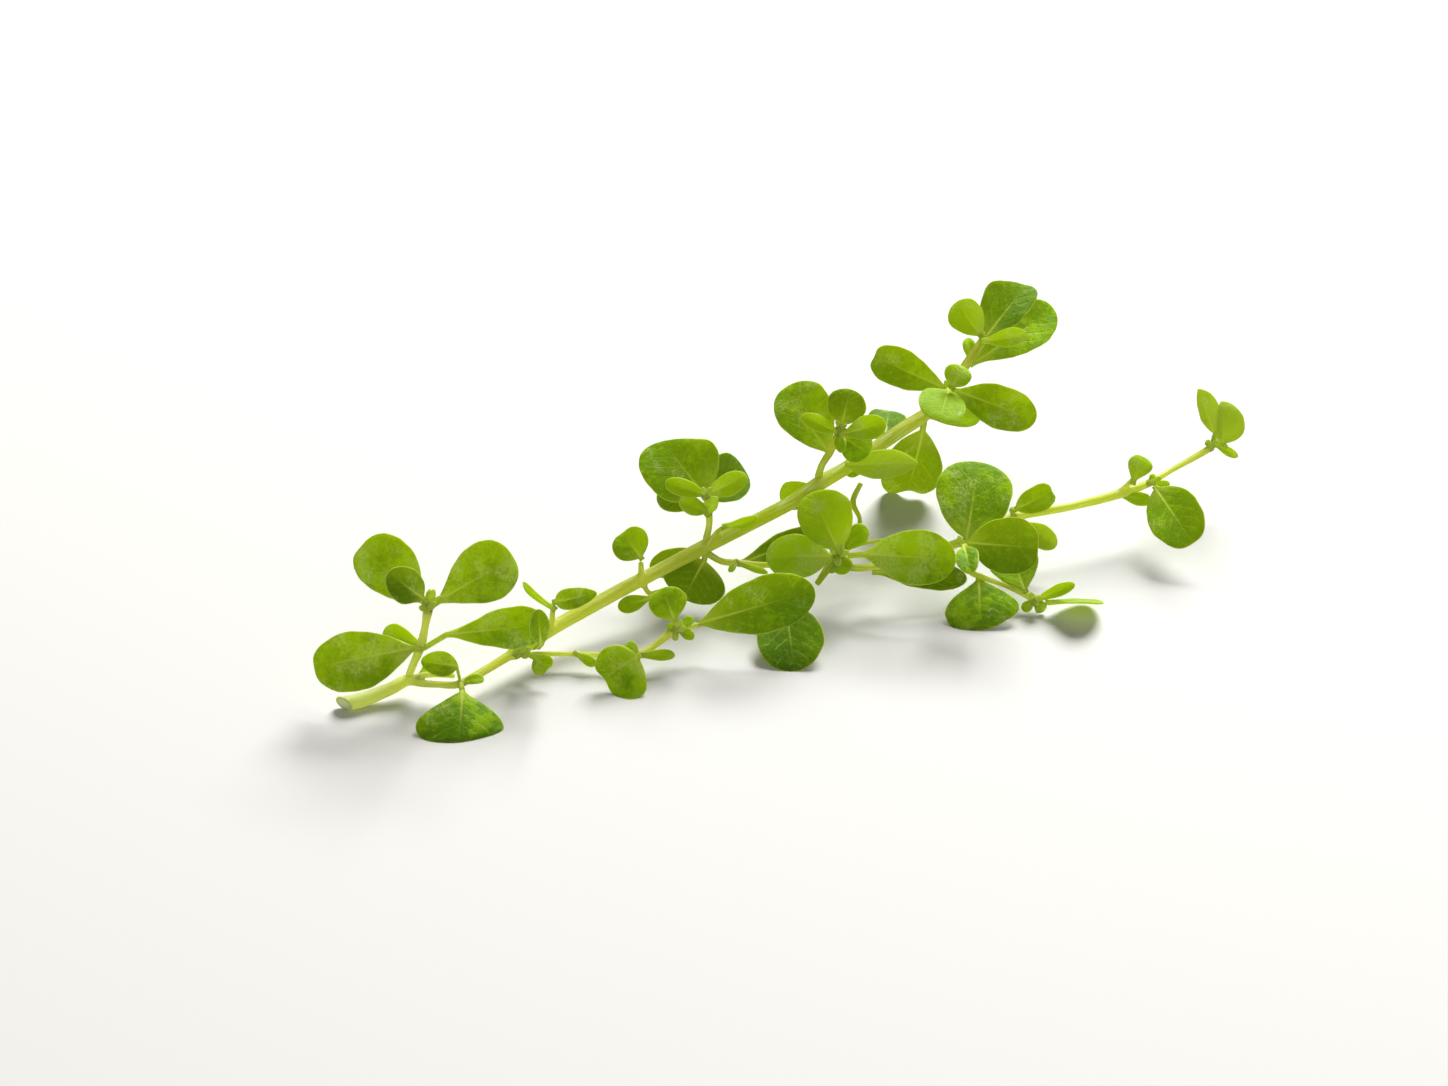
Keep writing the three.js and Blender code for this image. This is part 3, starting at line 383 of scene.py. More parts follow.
# Tiny leaves in the middle of the rosettes, by the stem they grow on.
TIPS = {
    "main_stem": [
        small_leaf((949, 389, 20.8), (945, 380, 22.8), 1),
        small_leaf((949, 389, 20.8), (953, 379, 23), 0.9),
        small_leaf((982, 342, 24), (982, 330, 26.4), 1.2),
        small_leaf((516, 653, 5), (520, 641, 6.6), 1.2),
        small_leaf((518, 655, 4.8), (530, 648, 5.8), 1.3),
        small_leaf((520, 653, 5), (528, 657, 4.6), 1.2),
    ],
    "upright_shoot_stem": [
        small_leaf((427, 608, 14.8), (422, 597, 17), 1.1),
        small_leaf((429, 607, 15), (434, 589, 18.2), 1.2),
        small_leaf((430, 608, 14.8), (443, 596, 16.8), 1.2),
        small_leaf((428, 609, 15.2), (436, 602, 16.6), 1.1),
        small_leaf((428, 610, 15), (419, 607, 15.6), 1),
    ],
    "lower_shoot_stem": [
        small_leaf((677, 629, 6), (681, 619, 8), 1.2),
        small_leaf((677, 630, 6), (686, 627, 6.8), 1.2),
        small_leaf((676, 630, 6), (675, 641, 4.6), 1.1),
    ],
    "middle_shoot_stem": [
        small_leaf((706, 495, 18.8), (702, 487, 20.6), 0.9),
        small_leaf((706, 495, 18.8), (711, 487, 20.4), 0.9),
    ],
    "upper_shoot_stem": [
        small_leaf((840, 427, 23), (836, 420, 24.6), 0.8),
        small_leaf((841, 428, 22.8), (847, 424, 24), 0.8),
        small_leaf((840, 429, 22.6), (848, 431, 22.8), 0.8),
    ],
    "side_branch_stem": [
        small_leaf((836, 555, 9.4), (831, 545, 11.6), 1.2),
        small_leaf((837, 555, 9.4), (843, 544, 11.8), 1.3),
        small_leaf((838, 556, 9.2), (849, 551, 10.4), 1.2),
        small_leaf((837, 557, 9.2), (839, 566, 8.6), 1.4),
        small_leaf((1014, 517, 9), (1011, 507, 10.4), 0.9),
        small_leaf((962, 543, 9.8), (958, 536, 11), 1),
        small_leaf((1150, 483, 9.4), (1162, 477, 10.6), 0.9),
        small_leaf((1218, 443, 11.4), (1228, 447, 11), 0.9),
    ],
    "side_twig_stem": [
        small_leaf((1034, 600, 2.4), (1030, 592, 3.8), 1.1),
        small_leaf((1035, 600, 2.4), (1042, 596, 3.4), 1.1),
        small_leaf((1034, 601, 2.4), (1037, 606, 1.6), 1.1),
    ],
}

STEMS = [
    dict(name="main_stem", stops=MAIN_STEM, strands=MAIN_STRANDS, buds=MAIN_BUDS, slot="main_stem"),
    dict(name="upright_shoot_stem", stops=UPRIGHT_SHOOT, buds=UPRIGHT_BUDS, slot="shoot_stem"),
    dict(name="lower_shoot_stem", stops=LOWER_SHOOT, buds=LOWER_BUDS, slot="shoot_stem"),
    dict(name="middle_shoot_stem", stops=MIDDLE_SHOOT, buds=MIDDLE_BUDS, slot="shoot_stem"),
    dict(name="upper_shoot_stem", stops=UPPER_SHOOT, buds=UPPER_BUDS, slot="shoot_stem"),
    dict(name="side_branch_stem", stops=SIDE_BRANCH, strands=BRANCH_STRANDS, buds=BRANCH_BUDS,
         slot="shoot_stem"),
    dict(name="side_twig_stem", stops=SIDE_TWIG, buds=TWIG_BUDS, slot="shoot_stem"),
]


def length_property(name, description, default):
    """A length, in metres, that a user can change."""
    return FloatProperty(name=name, description=description, default=default, unit="LENGTH", precision=5)


def colour_property(name, description, default):
    """A colour that a user can change."""
    return FloatVectorProperty(name=name, description=description, default=default, subtype="COLOR")


class HyssopSizes(bpy.types.PropertyGroup):
    """Sizes of the sprig's pieces."""

    blade_thickness: length_property("Blade Thickness", "How thick a leaf is at its middle", 0.0006)
    stalk_thickness: length_property(
        "Stalk Thickness", "How thick a leaf is where it leaves the stem", 0.0009)
    midrib_groove: length_property(
        "Midrib Groove", "How deep the midrib lies in a leaf's upper face", 0.00012)
    edge_ripple: length_property(
        "Edge Ripple", "How far a leaf's edge strays from its smooth outline", 0.00007)
    rows: IntProperty(
        name="Rows", description="Rows of faces along each half of a leaf", default=20, min=4)
    columns: IntProperty(
        name="Columns", description="Columns of faces across a leaf", default=26, min=4)
    stem_sides: IntProperty(
        name="Stem Sides", description="Sides of a stem before its joints are blended", default=20, min=6)
    stem_grain: length_property(
        "Stem Grain", "Size of the faces that blend a stem with its side stems", 0.00017)


class HyssopColours(bpy.types.PropertyGroup):
    """Colours of the sprig's finishes."""

    leaf: colour_property("Leaf", "Green of a grown leaf", linear(154, 200, 4))
    # Leaf Shade is the darker green in the mottle of a grown leaf, and also the lighter green of the leaves
    # painted in shade.
    leaf_deep: colour_property("Leaf Shade", "Darker green of a grown leaf", linear(76, 134, 0))
    young_leaf: colour_property("Young Leaf", "Green of a young leaf", linear(166, 208, 12))
    pale_leaf: colour_property("Leaf Underside", "Pale green of a leaf's lower face", linear(166, 192, 84))
    # The darkest green is painted shade: it is given to leaves that lie in shadow, and low tints draw other
    # leaves towards it.
    shaded_leaf: colour_property("Shaded Leaf", "Darkest green of the old leaves", linear(48, 100, 0))
    vein: colour_property("Vein", "Yellow green of veins and leaf bases", linear(222, 230, 104))
    rim: colour_property("Leaf Rim", "Pale green of a leaf's edge", linear(216, 224, 104))
    stem: colour_property("Stem", "Yellow green of the main stem", linear(166, 174, 0))
    shoot: colour_property("Shoot", "Green of the side stems", linear(178, 192, 50))
    streak: colour_property("Stem Streak", "Pale streaks along a stem", linear(230, 230, 122))
    olive: colour_property("Olive Tinge", "Olive tinge in places on a stem", linear(134, 156, 0))
    # The pale colour of the painted sheen: patches that stand in for light glinting off a leaf.
    painted_sheen: colour_property("Leaf Painted Sheen", "Pale patches on a leaf", linear(200, 218, 128))
    pith: colour_property("Pith", "Whitish green of the cut face", linear(242, 246, 222))


class HyssopStage(bpy.types.PropertyGroup):
    """The floor and the lights."""

    floor: colour_property("Floor", "Colour of the surface", (0.62, 0.616, 0.598))
    floor_size: length_property("Floor Size", "Side of the floor", 6)
    sky: FloatProperty(name="Sky", description="Strength of the light from all round", default=0.11, min=0)
    sky_tint: colour_property("Sky Tint", "Colour of the light from all round", (1, 0.93, 0.7))
    key_power: FloatProperty(
        name="Key Light", description="Power of the soft light above and behind", default=51, unit="POWER")
    key_size: length_property("Key Light Size", "Side of the soft light above and behind", 0.76)
    fill_power: FloatProperty(
        name="Fill Light", description="Power of the soft light in front", default=6.5, unit="POWER")
    fill_size: length_property("Fill Light Size", "Side of the soft light in front", 1.5)
    light_distance: length_property("Light Distance", "How far away the soft lights are", 1.5)


class Value:
    """What one socket of a material gives, with arithmetic that adds Math nodes."""

    def __init__(self, finish, socket):
        self.finish = finish
        self.socket = socket

    def __add__(self, other):
        return self.finish.math("ADD", self, other)

    def __radd__(self, other):
        return self.finish.math("ADD", other, self)

    def __sub__(self, other):
        return self.finish.math("SUBTRACT", self, other)

    def __rsub__(self, other):
        return self.finish.math("SUBTRACT", other, self)

    def __mul__(self, other):
        return self.finish.math("MULTIPLY", self, other)

    def __rmul__(self, other):
        return self.finish.math("MULTIPLY", other, self)

    def __pow__(self, other):
        return self.finish.math("POWER", self, other)

    def __abs__(self):
        return self.finish.math("ABSOLUTE", self)


class Finish:
    """One material, and the means to add nodes to it."""

    def __init__(self, name):
        self.material = bpy.data.materials.new(name)
        self.material.use_nodes = True
        self.tree = self.material.node_tree
        self.tree.nodes.clear()

    def node(self, kind, settings=None, sockets=None, output=0):
        """Adds a node with its settings, then the values or links of its sockets."""
        node = self.tree.nodes.new(kind)
        for key, setting in (settings or {}).items():
            setattr(node, key, setting)
        for key, value in (sockets or {}).items():
            if isinstance(value, Value):
                self.tree.links.new(value.socket, node.inputs[key])
            else:
                node.inputs[key].default_value = value
        return Value(self, node.outputs[output] if node.outputs else None)

    def math(self, operation, *values):
        return self.node("ShaderNodeMath", {"operation": operation}, dict(enumerate(values)))

    def attribute(self, name, output="Fac"):
        return self.node("ShaderNodeAttribute", {"attribute_name": name}, output=output)

    def place(self):
        return self.node("ShaderNodeTexCoord", output="Object")

    def parts(self, vector):
        split = self.node("ShaderNodeSeparateXYZ", sockets={0: vector}).socket.node
        return [Value(self, output) for output in split.outputs]

    def noise(self, vector, scale, detail=2):
        return self.node("ShaderNodeTexNoise", sockets={"Vector": vector, "Scale": scale, "Detail": detail})

    def rise(self, value, low, high):
        """A smooth step from 0 at low to 1 at high."""
        sockets = {"Value": value, "From Min": low, "From Max": high}
        return self.node("ShaderNodeMapRange", {"interpolation_type": "SMOOTHSTEP"}, sockets)

    def mix(self, factor, first, second):
        """A colour between two others."""
        colours = [c if isinstance(c, Value) else (*c, 1) for c in (first, second)]
        sockets = {0: factor, 6: colours[0], 7: colours[1]}
        return self.node("ShaderNodeMix", {"data_type": "RGBA"}, sockets, 2)

    def surface(self, colour, roughness, bump, depth, glow, share, shine, wax=0):
        """Ends the material: a rough shader with a bump, and a share of light that comes through."""
        normal = self.node("ShaderNodeBump", sockets={"Height": bump, "Distance": depth, "Strength": 1})
        shader = self.node("ShaderNodeBsdfPrincipled", sockets={
            "Base Color": colour, "Roughness": roughness, "Normal": normal, "Specular IOR Level": shine,
            "Coat Weight": wax, "Coat Roughness": 0.32})
        through = self.node("ShaderNodeBsdfTranslucent", sockets={"Color": (*glow, 1)})
        shader = self.node("ShaderNodeMixShader", sockets={0: share, 1: shader, 2: through})
        self.node("ShaderNodeOutputMaterial", sockets={"Surface": shader})
        return self.material


def leaf_finish(name, green, deep, colours, gloss=0.42, glow_share=0.42, paleness=0.0):
    """A leaf: mottled green with a fine grain, painted sheen in pale patches, a pale midrib, faint side
    veins and a thin pale rim.
    """
    paint = Finish(name)
    reach, lateral, upper = paint.parts(paint.attribute("blade", "Vector"))
    rim = paint.attribute("rim")
    aside = paint.attribute("aside")
    tint = paint.attribute("tint")
    point = paint.place()
    cloud = paint.noise(point, CLOUD_SCALE)
    haze = paint.noise(point, HAZE_SCALE, 3)
    patch = paint.noise(point, PATCH_SCALE)
    grain = paint.noise(point, GRAIN_SCALE)
    cells = paint.node(
        "ShaderNodeTexVoronoi", {"feature": "DISTANCE_TO_EDGE"}, {"Vector": point, "Scale": NET_SCALE})
    flank = abs(lateral)

    mottle = cloud * 0.6 + patch * 0.2 + grain * 0.2
    # The tint paints each leaf darker or lighter: below 0.2 towards the darkest green, above 0.8 towards the
    # young green and above 1.4 towards the vein colour. This is partly the tone of old and young leaves and
    # partly painted shade and painted light.
    colour = paint.mix(paint.rise(mottle + (tint - 0.5) * 0.2, 0.42, 0.58), deep, green)
    colour = paint.mix((1 - paint.rise(tint, -1.0, 0.2)) * 0.8, colour, colours.shaded_leaf)
    colour = paint.mix(paint.rise(tint, 0.8, 1.6) * 0.8, colour, colours.young_leaf)
    colour = paint.mix(paint.rise(tint, 1.4, 1.6) * 0.7, colour, colours.vein)
    fleck = paint.rise(patch * 0.6 + grain * 0.4, 0.48, 0.62)
    colour = paint.mix(fleck * 0.28, colour, green)
    # Painted sheen: pale flecked patches mixed into the colour in place of light glinting off the face. The
    # same patches are also made glossier and waxier.
    speckle = 0.2 + paint.rise(grain, 0.4, 0.6) * 0.8
    painted_sheen = paint.rise(haze + (tint - 0.5) * 0.14, 0.5, 0.64) * speckle
    colour = paint.mix(painted_sheen * 0.6, colour, colours.painted_sheen)
    near_base = 1 - paint.rise(reach, -0.05, 0.3)
    colour = paint.mix(near_base * 0.55, colour, colours.vein)

    vein_width = 0.42 - reach * 0.3
    midrib = (1 - paint.rise(aside, 0.02, vein_width)) * (1 - paint.rise(reach, 0.1, 0.9) * 0.9)
    rung = (reach - flank ** VEIN_CURVE * VEIN_SWEEP + patch * 0.06) * SIDE_VEINS
    rung = 1 - paint.rise(paint.math("PINGPONG", rung, 0.5), 0.0, 0.1)
    side_vein = rung * (1 - paint.rise(flank, 0.5, 0.92)) * paint.rise(aside, 0.1, 0.8)
    net = 1 - paint.rise(cells, 0.0, 0.09)
    colour = paint.mix(net * 0.12, colour, colours.vein)
    colour = paint.mix(side_vein * paint.rise(patch, 0.35, 0.6) * 0.34, colour, colours.vein)
    colour = paint.mix(midrib * 0.9, colour, colours.vein)
    edge = 1 - paint.rise(rim, 0.05, 0.24)
    colour = paint.mix(edge * 0.9, colour, colours.rim)
    below = 1 - paint.rise(upper, 0.3, 0.7)
    colour = paint.mix(paint.math("MAXIMUM", below, paleness) * 0.75, colour, colours.pale_leaf)

    roughness = gloss + grain * 0.14 + below * 0.12 - painted_sheen * 0.14
    bump = grain * 0.5 + patch * 0.9 - midrib * 0.7 - side_vein * 0.4 - net * 0.3
    return paint.surface(colour, roughness, bump, depth=0.00012, glow=LEAF_GLOW, share=glow_share,
                         shine=0.12, wax=painted_sheen * 0.4)


def stem_finish(name, green, colours, paleness):
    """A stem: pale streaks, thin pale lines painted as highlights, paler joints, olive in its middle and
    whiter near the cut.
    """
    paint = Finish(name)
    lengthwise = paint.attribute("grain", "Vector")
    joint = paint.attribute("joint")
    point = paint.place()
    streak = paint.noise(lengthwise, 1.1)
    fibre = paint.noise(lengthwise, 5)
    # The mask of the thin painted highlights along the stem.
    line = paint.noise(lengthwise, 3.2, 1)
    tinge = paint.noise(point, TINGE_SCALE)
    along_sprig = paint.parts(point)[0]
    colour = paint.mix(paleness + paint.rise(streak, 0.46, 0.6) * 0.42, green, colours.streak)
    middle = paint.rise(along_sprig, -0.022, -0.01) * (1 - paint.rise(along_sprig, 0.014, 0.022))
    olive = paint.rise(tinge, 0.48, 0.66) * (0.4 - paleness * 2) + middle * 0.8
    colour = paint.mix(olive, colour, colours.olive)
    lower_half = 1 - paint.rise(along_sprig, -0.035, -0.008)
    colour = paint.mix(lower_half * (0.3 + paleness * 2.5), colour, colours.streak)
    near_cut = 1 - paint.rise(along_sprig, -0.072, -0.05)
    colour = paint.mix(near_cut * 0.6, colour, colours.pith)
    colour = paint.mix(joint * 0.6, colour, colours.streak)
    # Painted highlights: thin whitish lines that stand in for glints of light along the stem.
    colour = paint.mix(paint.rise(line, 0.57, 0.62) * 0.42, colour, colours.pith)
    colour = paint.mix(fibre * 0.2, colour, green)
    return paint.surface(colour, 0.36 + fibre * 0.15, streak + fibre * 0.5, depth=0.0001,
                         glow=STEM_GLOW, share=0.5, shine=0.24)


def pith_finish(name, colours):
    """The cut face: whitish, with a greener ring near its edge and fine pores."""
    paint = Finish(name)
    rim = paint.attribute("rim")
    pores = paint.noise(paint.place(), PORE_SCALE)
    ring = paint.rise(rim, 0.1, 0.24) * (1 - paint.rise(rim, 0.3, 0.5))
    colour = paint.mix(ring * 0.5, colours.pith, colours.stem)
    colour = paint.mix(1 - paint.rise(rim, 0.0, 0.14), colour, colours.shoot)
    colour = paint.mix(paint.rise(pores, 0.55, 0.75) * 0.3, colour, colours.streak)
    return paint.surface(colour, 0.45 + pores * 0.1, pores, depth=0.00008, glow=PITH_GLOW, share=0.5,
                         shine=0.3)


def ray_through(x, y):
    """The direction in which the view looks through one pixel."""
    return (VIEW_FORWARD + VIEW_RIGHT * (x - FRAME_WIDTH / 2) / FOCAL_PIXELS
            + VIEW_UP * (FRAME_HEIGHT / 2 - y) / FOCAL_PIXELS)


EYE = -MM_PER_PIXEL * FOCAL_PIXELS * ray_through(*ORIGIN_PIXEL)


def place(stop):
    """The point, in mm, that shows at a pixel and lies at a height above the surface."""
    ray = ray_through(stop[0], stop[1])
    return EYE + ray * (stop[2] - EYE[2]) / ray[2]


def unit(vectors):
    return vectors / np.maximum(np.linalg.norm(vectors, axis=-1, keepdims=True), 1e-9)


def blade_place(u, v, leaf):
    """How far along a blade, and how far out as a share of its half width, a place of its grid is."""
    widest, slant = leaf["widest"], leaf["slant"]
    late = np.maximum(u - 1, 0)
    turn = late * (math.pi / 2 - END_ARC)
    arc_share = (np.cos(END_ARC * v) - math.cos(END_ARC)) / (1 - math.cos(END_ARC))
    reach = np.sin(turn) + (late - np.sin(turn)) * arc_share
    out = np.cos(turn) * ((1 - late) * v + late * np.sin(END_ARC * v) / math.sin(END_ARC))
    dent = leaf["notch"] * late**2 * np.exp(-((v / NOTCH_WIDTH) ** 2))
    far = widest + (1 - widest) * reach
    early = np.clip(u, 0, 1)
    near = early * widest
    along = np.where(u <= 1, near * (1 - slant * v * near), far * (1 - slant * v * far) - dent)
    wedge = v * np.sin(math.pi / 2 * early ** leaf["base"])
    return along, np.where(u <= 1, wedge, out * (1 - leaf["point"] * reach**2))


def blade_frame(root, tip, roll):
    """Directions along a blade, across it and out of its upper face, which a roll of 0 turns to view."""
    along = unit(tip - root)
    to_eye = unit(EYE - root)
    facing = unit(to_eye - along * (to_eye @ along))
    turn = Matrix.Rotation(-math.radians(roll), 3, Vector(along))
    up = np.array(turn @ Vector(facing))
    return along, np.cross(up, along), up


def blade_surface(leaf):
    """The middle surface of a blade, from its stalk (u from -1 to 0) to its tip (u = 2), and its up side."""
    root, tip = place(leaf["root"]), place(leaf["tip"])
    along, across, up = blade_frame(root, tip, leaf["roll"])
    stalk = place(leaf["stalk"]) if "stalk" in leaf else root - along * HEEL
    lift = math.radians(leaf["cup"])
    half_width = leaf["width"] / 2

    def surface(u, v):
        reach, out = blade_place(np.maximum(u, 0), v, leaf)
        start = np.where((u < 0)[..., None], root + (stalk - root) * -np.minimum(u, 0)[..., None],
                         root + (tip - root) * reach[..., None])
        narrow = STALK_HALF_WIDTH * np.maximum(0, 1 - reach * STALK_TAPER)
        side = np.sign(v) * np.hypot(narrow * v, half_width * out) * (1 + leaf["skew"] * np.sign(v))
        waves = np.sin(WAVES_ALONG * math.pi * reach + np.where(v < 0, WAVE_LAG, 0))
        raised = (leaf["arch"] * 4 * reach * (1 - reach)
                  + math.sin(lift) * np.abs(side) ** 1.5 / math.sqrt(half_width)
                  + leaf["wave"] * reach * v * v * waves)
        point = start + across * (side * math.cos(lift))[..., None] + up * raised[..., None]
        return point, reach, side

    return surface, up


def blade_grid(leaf, rows, columns):
    """The places (u, v) of a blade's rows and columns, closer together towards its tip and its edges."""
    stalk = np.linspace(-1, 0, rows // 2 + 1)[:-1] if "stalk" in leaf else [-1]
    early = np.linspace(0, 1, rows + 1)
    late = 1 + np.sin(np.linspace(0, math.pi / 2, rows + 1))[1:]
    sideways = np.sin(np.linspace(-1, 1, columns + 1) * math.pi / 2)
    return np.meshgrid(np.concatenate([stalk, early, late]), sideways, indexing="ij")


def blade_faces(upper, lower):
    """The faces of a blade's two sides, which share their edges and tip, and of the end of its stalk."""
    def facing(*corners):
        return np.stack(corners, axis=-1).reshape(-1, 4)

    faces = np.concatenate([
        facing(upper[:-1, :-1], upper[:-1, 1:], upper[1:, 1:], upper[1:, :-1]),
        facing(lower[:-1, :-1], lower[1:, :-1], lower[1:, 1:], lower[:-1, 1:]),
        facing(upper[0, :-1], lower[0, :-1], lower[0, 1:], upper[0, 1:]),
    ])
    return [list(dict.fromkeys(face)) for face in faces.tolist()]


def blade_mesh(name, leaf, sizes, seed, rows, columns):
    """A blade with rounded, slightly rippled edges, a sunken midrib and puckered faces."""
    leaf = USUAL_LEAF | leaf
    surface, up = blade_surface(leaf)
    phases = np.random.default_rng(seed).uniform(0, 2 * math.pi, 3)
    u, v = blade_grid(leaf, rows, columns)
    nudge = 0.01
    middle, reach, side = surface(u, v)
    along_step = surface(np.minimum(u + nudge, 2), v)[0] - surface(np.maximum(u - nudge, u.min()), v)[0]
    across_step = surface(u, v + nudge)[0] - surface(u, v - nudge)[0]
    normal = unit(np.cross(along_step, across_step))
    normal[(normal @ up) < 0] *= -1

    ripple = sizes.edge_ripple / METRES_PER_MM * min(1, leaf["width"] / FULL_RIPPLE_WIDTH)
    length = np.linalg.norm(place(leaf["tip"]) - place(leaf["root"]))
    waviness = (np.sin(reach * length * 0.9 + phases[0] + np.sign(v) * 1.3)
                + 0.4 * np.sin(reach * length * 2.3 + phases[1] + np.sign(v) * 2.1))
    lifting = np.sin(reach * length * 1.3 + phases[2] + np.sign(v) * 1.7)
    middle += unit(middle - surface(u, v * 0.2)[0]) * (ripple * waviness * np.abs(v) ** 6)[..., None]
    middle += normal * (1.4 * ripple * np.abs(v) ** 3 * lifting)[..., None]

    thick = sizes.blade_thickness / METRES_PER_MM * min(1, 0.6 + leaf["width"] / 12)
    extra = sizes.stalk_thickness / METRES_PER_MM - thick
    half = (thick + extra * np.maximum(0, 1 - 2 * np.maximum(u, 0))) / 2
    round_edge = np.sqrt(np.maximum(1 - np.abs(v) ** 3, 0))
    round_tip = np.sqrt(np.maximum(1 - np.maximum(u - 1, 0) ** 6, 0))
    half *= round_edge * round_tip
    full = np.minimum(half / max(thick / 2, 1e-6), 1)
    groove = sizes.midrib_groove / METRES_PER_MM
    furrow = np.exp(-((side / FURROW_WIDTH) ** 2)) * np.clip(1 - reach * 0.9, 0, 1) * (u > -0.2)
    ladder = np.sin((reach - VEIN_SWEEP * np.abs(v) ** VEIN_CURVE) * SIDE_VEINS * 2 * math.pi)
    pucker = PUCKER * ladder * (1 - v**2) * (side != 0)
    top = middle + normal * (half - (groove * furrow - pucker) * full)[..., None]
    bottom = middle - normal * (half + groove * 0.8 * furrow * full)[..., None]

    floor_gap = 0.02
    bottom[..., 2] = np.maximum(bottom[..., 2], 0)
    top[..., 2] = np.maximum(top[..., 2], bottom[..., 2] + np.minimum(half, floor_gap))

    count, wide = u.shape
    upper = np.arange(count * wide).reshape(count, wide)
    lower = upper.copy()
    lower[:-1, 1:-1] = count * wide + np.arange((count - 1) * (wide - 2)).reshape(count - 1, wide - 2)

    def both(above, below):
        sides = [above, below[:-1, 1:-1]]
        return np.concatenate([values.reshape(-1, *values.shape[2:]) for values in sides])

    points = both(top, bottom)
    outline = np.concatenate([middle[u[:, 0] >= 0, 0], middle[-1], middle[u[:, 0] >= 0, -1]])
    mesh = mesh_from(name, points, blade_faces(upper, lower))
    is_upper = np.where((np.abs(v) > 0.999) | (u > 1.999), 0.5, 1.0)
    along = np.where(u < 0, u * 0.1, reach)
    store(mesh, "blade", both(np.stack([along, v, is_upper], -1), np.stack([along, v, 0 * v], -1)))
    store(mesh, "rim", np.sqrt(((points[:, None] - outline[None]) ** 2).sum(-1)).min(1))
    store(mesh, "aside", both(np.abs(side), np.abs(side)))
    store(mesh, "tint", np.full(len(points), leaf["tint"]))
    return mesh


def mesh_from(name, points, faces):
    """A smooth mesh from points in millimetres, with its faces turned outwards."""
    mesh = bpy.data.meshes.new(name)
    mesh.from_pydata((points * METRES_PER_MM).tolist(), [], faces)
    mesh.validate()
    mesh.shade_smooth()
    if volume(mesh) < 0:
        mesh.flip_normals()
    return mesh


def points_of(mesh):
    points = np.empty(len(mesh.vertices) * 3)
    mesh.vertices.foreach_get("co", points)
    return points.reshape(-1, 3)


def volume(mesh):
    """Six times the volume that a closed mesh holds, below 0 if its faces point inwards."""
    mesh.calc_loop_triangles()
    corners = np.empty(len(mesh.loop_triangles) * 3, int)
    mesh.loop_triangles.foreach_get("vertices", corners)
    a, b, c = points_of(mesh)[corners.reshape(-1, 3)].transpose(1, 0, 2)
    return float((a * np.cross(b, c)).sum())


def store(mesh, name, values):
    """Keeps a number or a vector for each point of a mesh, for its material to read."""
    vector = values.ndim > 1
    layer = mesh.attributes.new(name, "FLOAT_VECTOR" if vector else "FLOAT", "POINT")
    layer.data.foreach_set("vector" if vector else "value", values.astype(np.float32).reshape(-1))


def joined(name, meshes):
    """One mesh from several that have the same stored values."""
    points, faces, stored = [], [], {}
    start = 0
    for mesh in meshes:
        points.append(points_of(mesh))
        faces += [[start + i for i in polygon.vertices] for polygon in mesh.polygons]
        for layer, size in (("blade", 3), ("rim", 1), ("aside", 1), ("tint", 1)):
            values = np.empty(len(mesh.vertices) * size)
            mesh.attributes[layer].data.foreach_get("vector" if size == 3 else "value", values)
            stored.setdefault(layer, []).append(values.reshape(-1, 3) if size == 3 else values)
        start += len(mesh.vertices)
        bpy.data.meshes.remove(mesh)
    whole = mesh_from(name, np.concatenate(points) / METRES_PER_MM, faces)
    for layer, values in stored.items():
        store(whole, layer, np.concatenate(values))
    return whole


def add_object(name, data):
    added = bpy.data.objects.new(name, data)
    bpy.context.scene.collection.objects.link(added)
    return added


def finish_piece(name, mesh, material, node):
    """Adds a mesh as a piece that moves with the sprig and stands for one of its solids."""
    mesh.materials.clear()
    mesh.materials.append(material)
    piece = add_object(name, mesh)
    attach(piece, BODY)
    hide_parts(node)


def centreline(stops, steps=8):
    """Points, radii and distances along a smooth curve through a stem's stops, kept above the surface."""
    knots = np.array([place(stop) for stop in stops])
    radii = np.array([stop[3] for stop in stops])
    spans = len(knots) - 1
    padded = np.concatenate([[2 * knots[0] - knots[1]], knots, [2 * knots[-1] - knots[-2]]])
    gaps = np.linalg.norm(np.diff(padded, axis=0), axis=1) ** 0.5
    points, widths = [], []
    for i in range(spans):
        p0, p1, p2, p3 = padded[i:i + 4]
        g0, g1, g2 = gaps[i:i + 3]
        leave = ((p1 - p0) / g0 - (p2 - p0) / (g0 + g1) + (p2 - p1) / g1) * g1
        arrive = ((p2 - p1) / g1 - (p3 - p1) / (g1 + g2) + (p3 - p2) / g2) * g1
        for t in np.linspace(0, 1, steps + 1)[: None if i == spans - 1 else -1]:
            points.append(p1 + leave * t + (3 * (p2 - p1) - 2 * leave - arrive) * t**2
                          + (2 * (p1 - p2) + leave + arrive) * t**3)
            widths.append(radii[i] + (radii[i + 1] - radii[i]) * t * t * (3 - 2 * t))
    points, widths = np.array(points), np.array(widths)
    tangents = unit(np.gradient(points, axis=0))
    points[:, 2] = np.maximum(points[:, 2], widths * np.hypot(tangents[:, 0], tangents[:, 1]))
    distance = np.concatenate([[0], np.cumsum(np.linalg.norm(np.diff(points, axis=0), axis=1))])
    return points, widths, distance


def turning_frames(points):
    """Two directions across a line at each of its points, which turn as little as they can."""
    tangents = unit(np.gradient(points, axis=0))
    normal = np.array([0.0, 0.0, 1.0])
    normals = []
    for tangent in tangents:
        normal = unit(normal - tangent * (normal @ tangent))
        normals.append(normal)
    normals = np.array(normals)
    return normals, np.cross(tangents, normals)


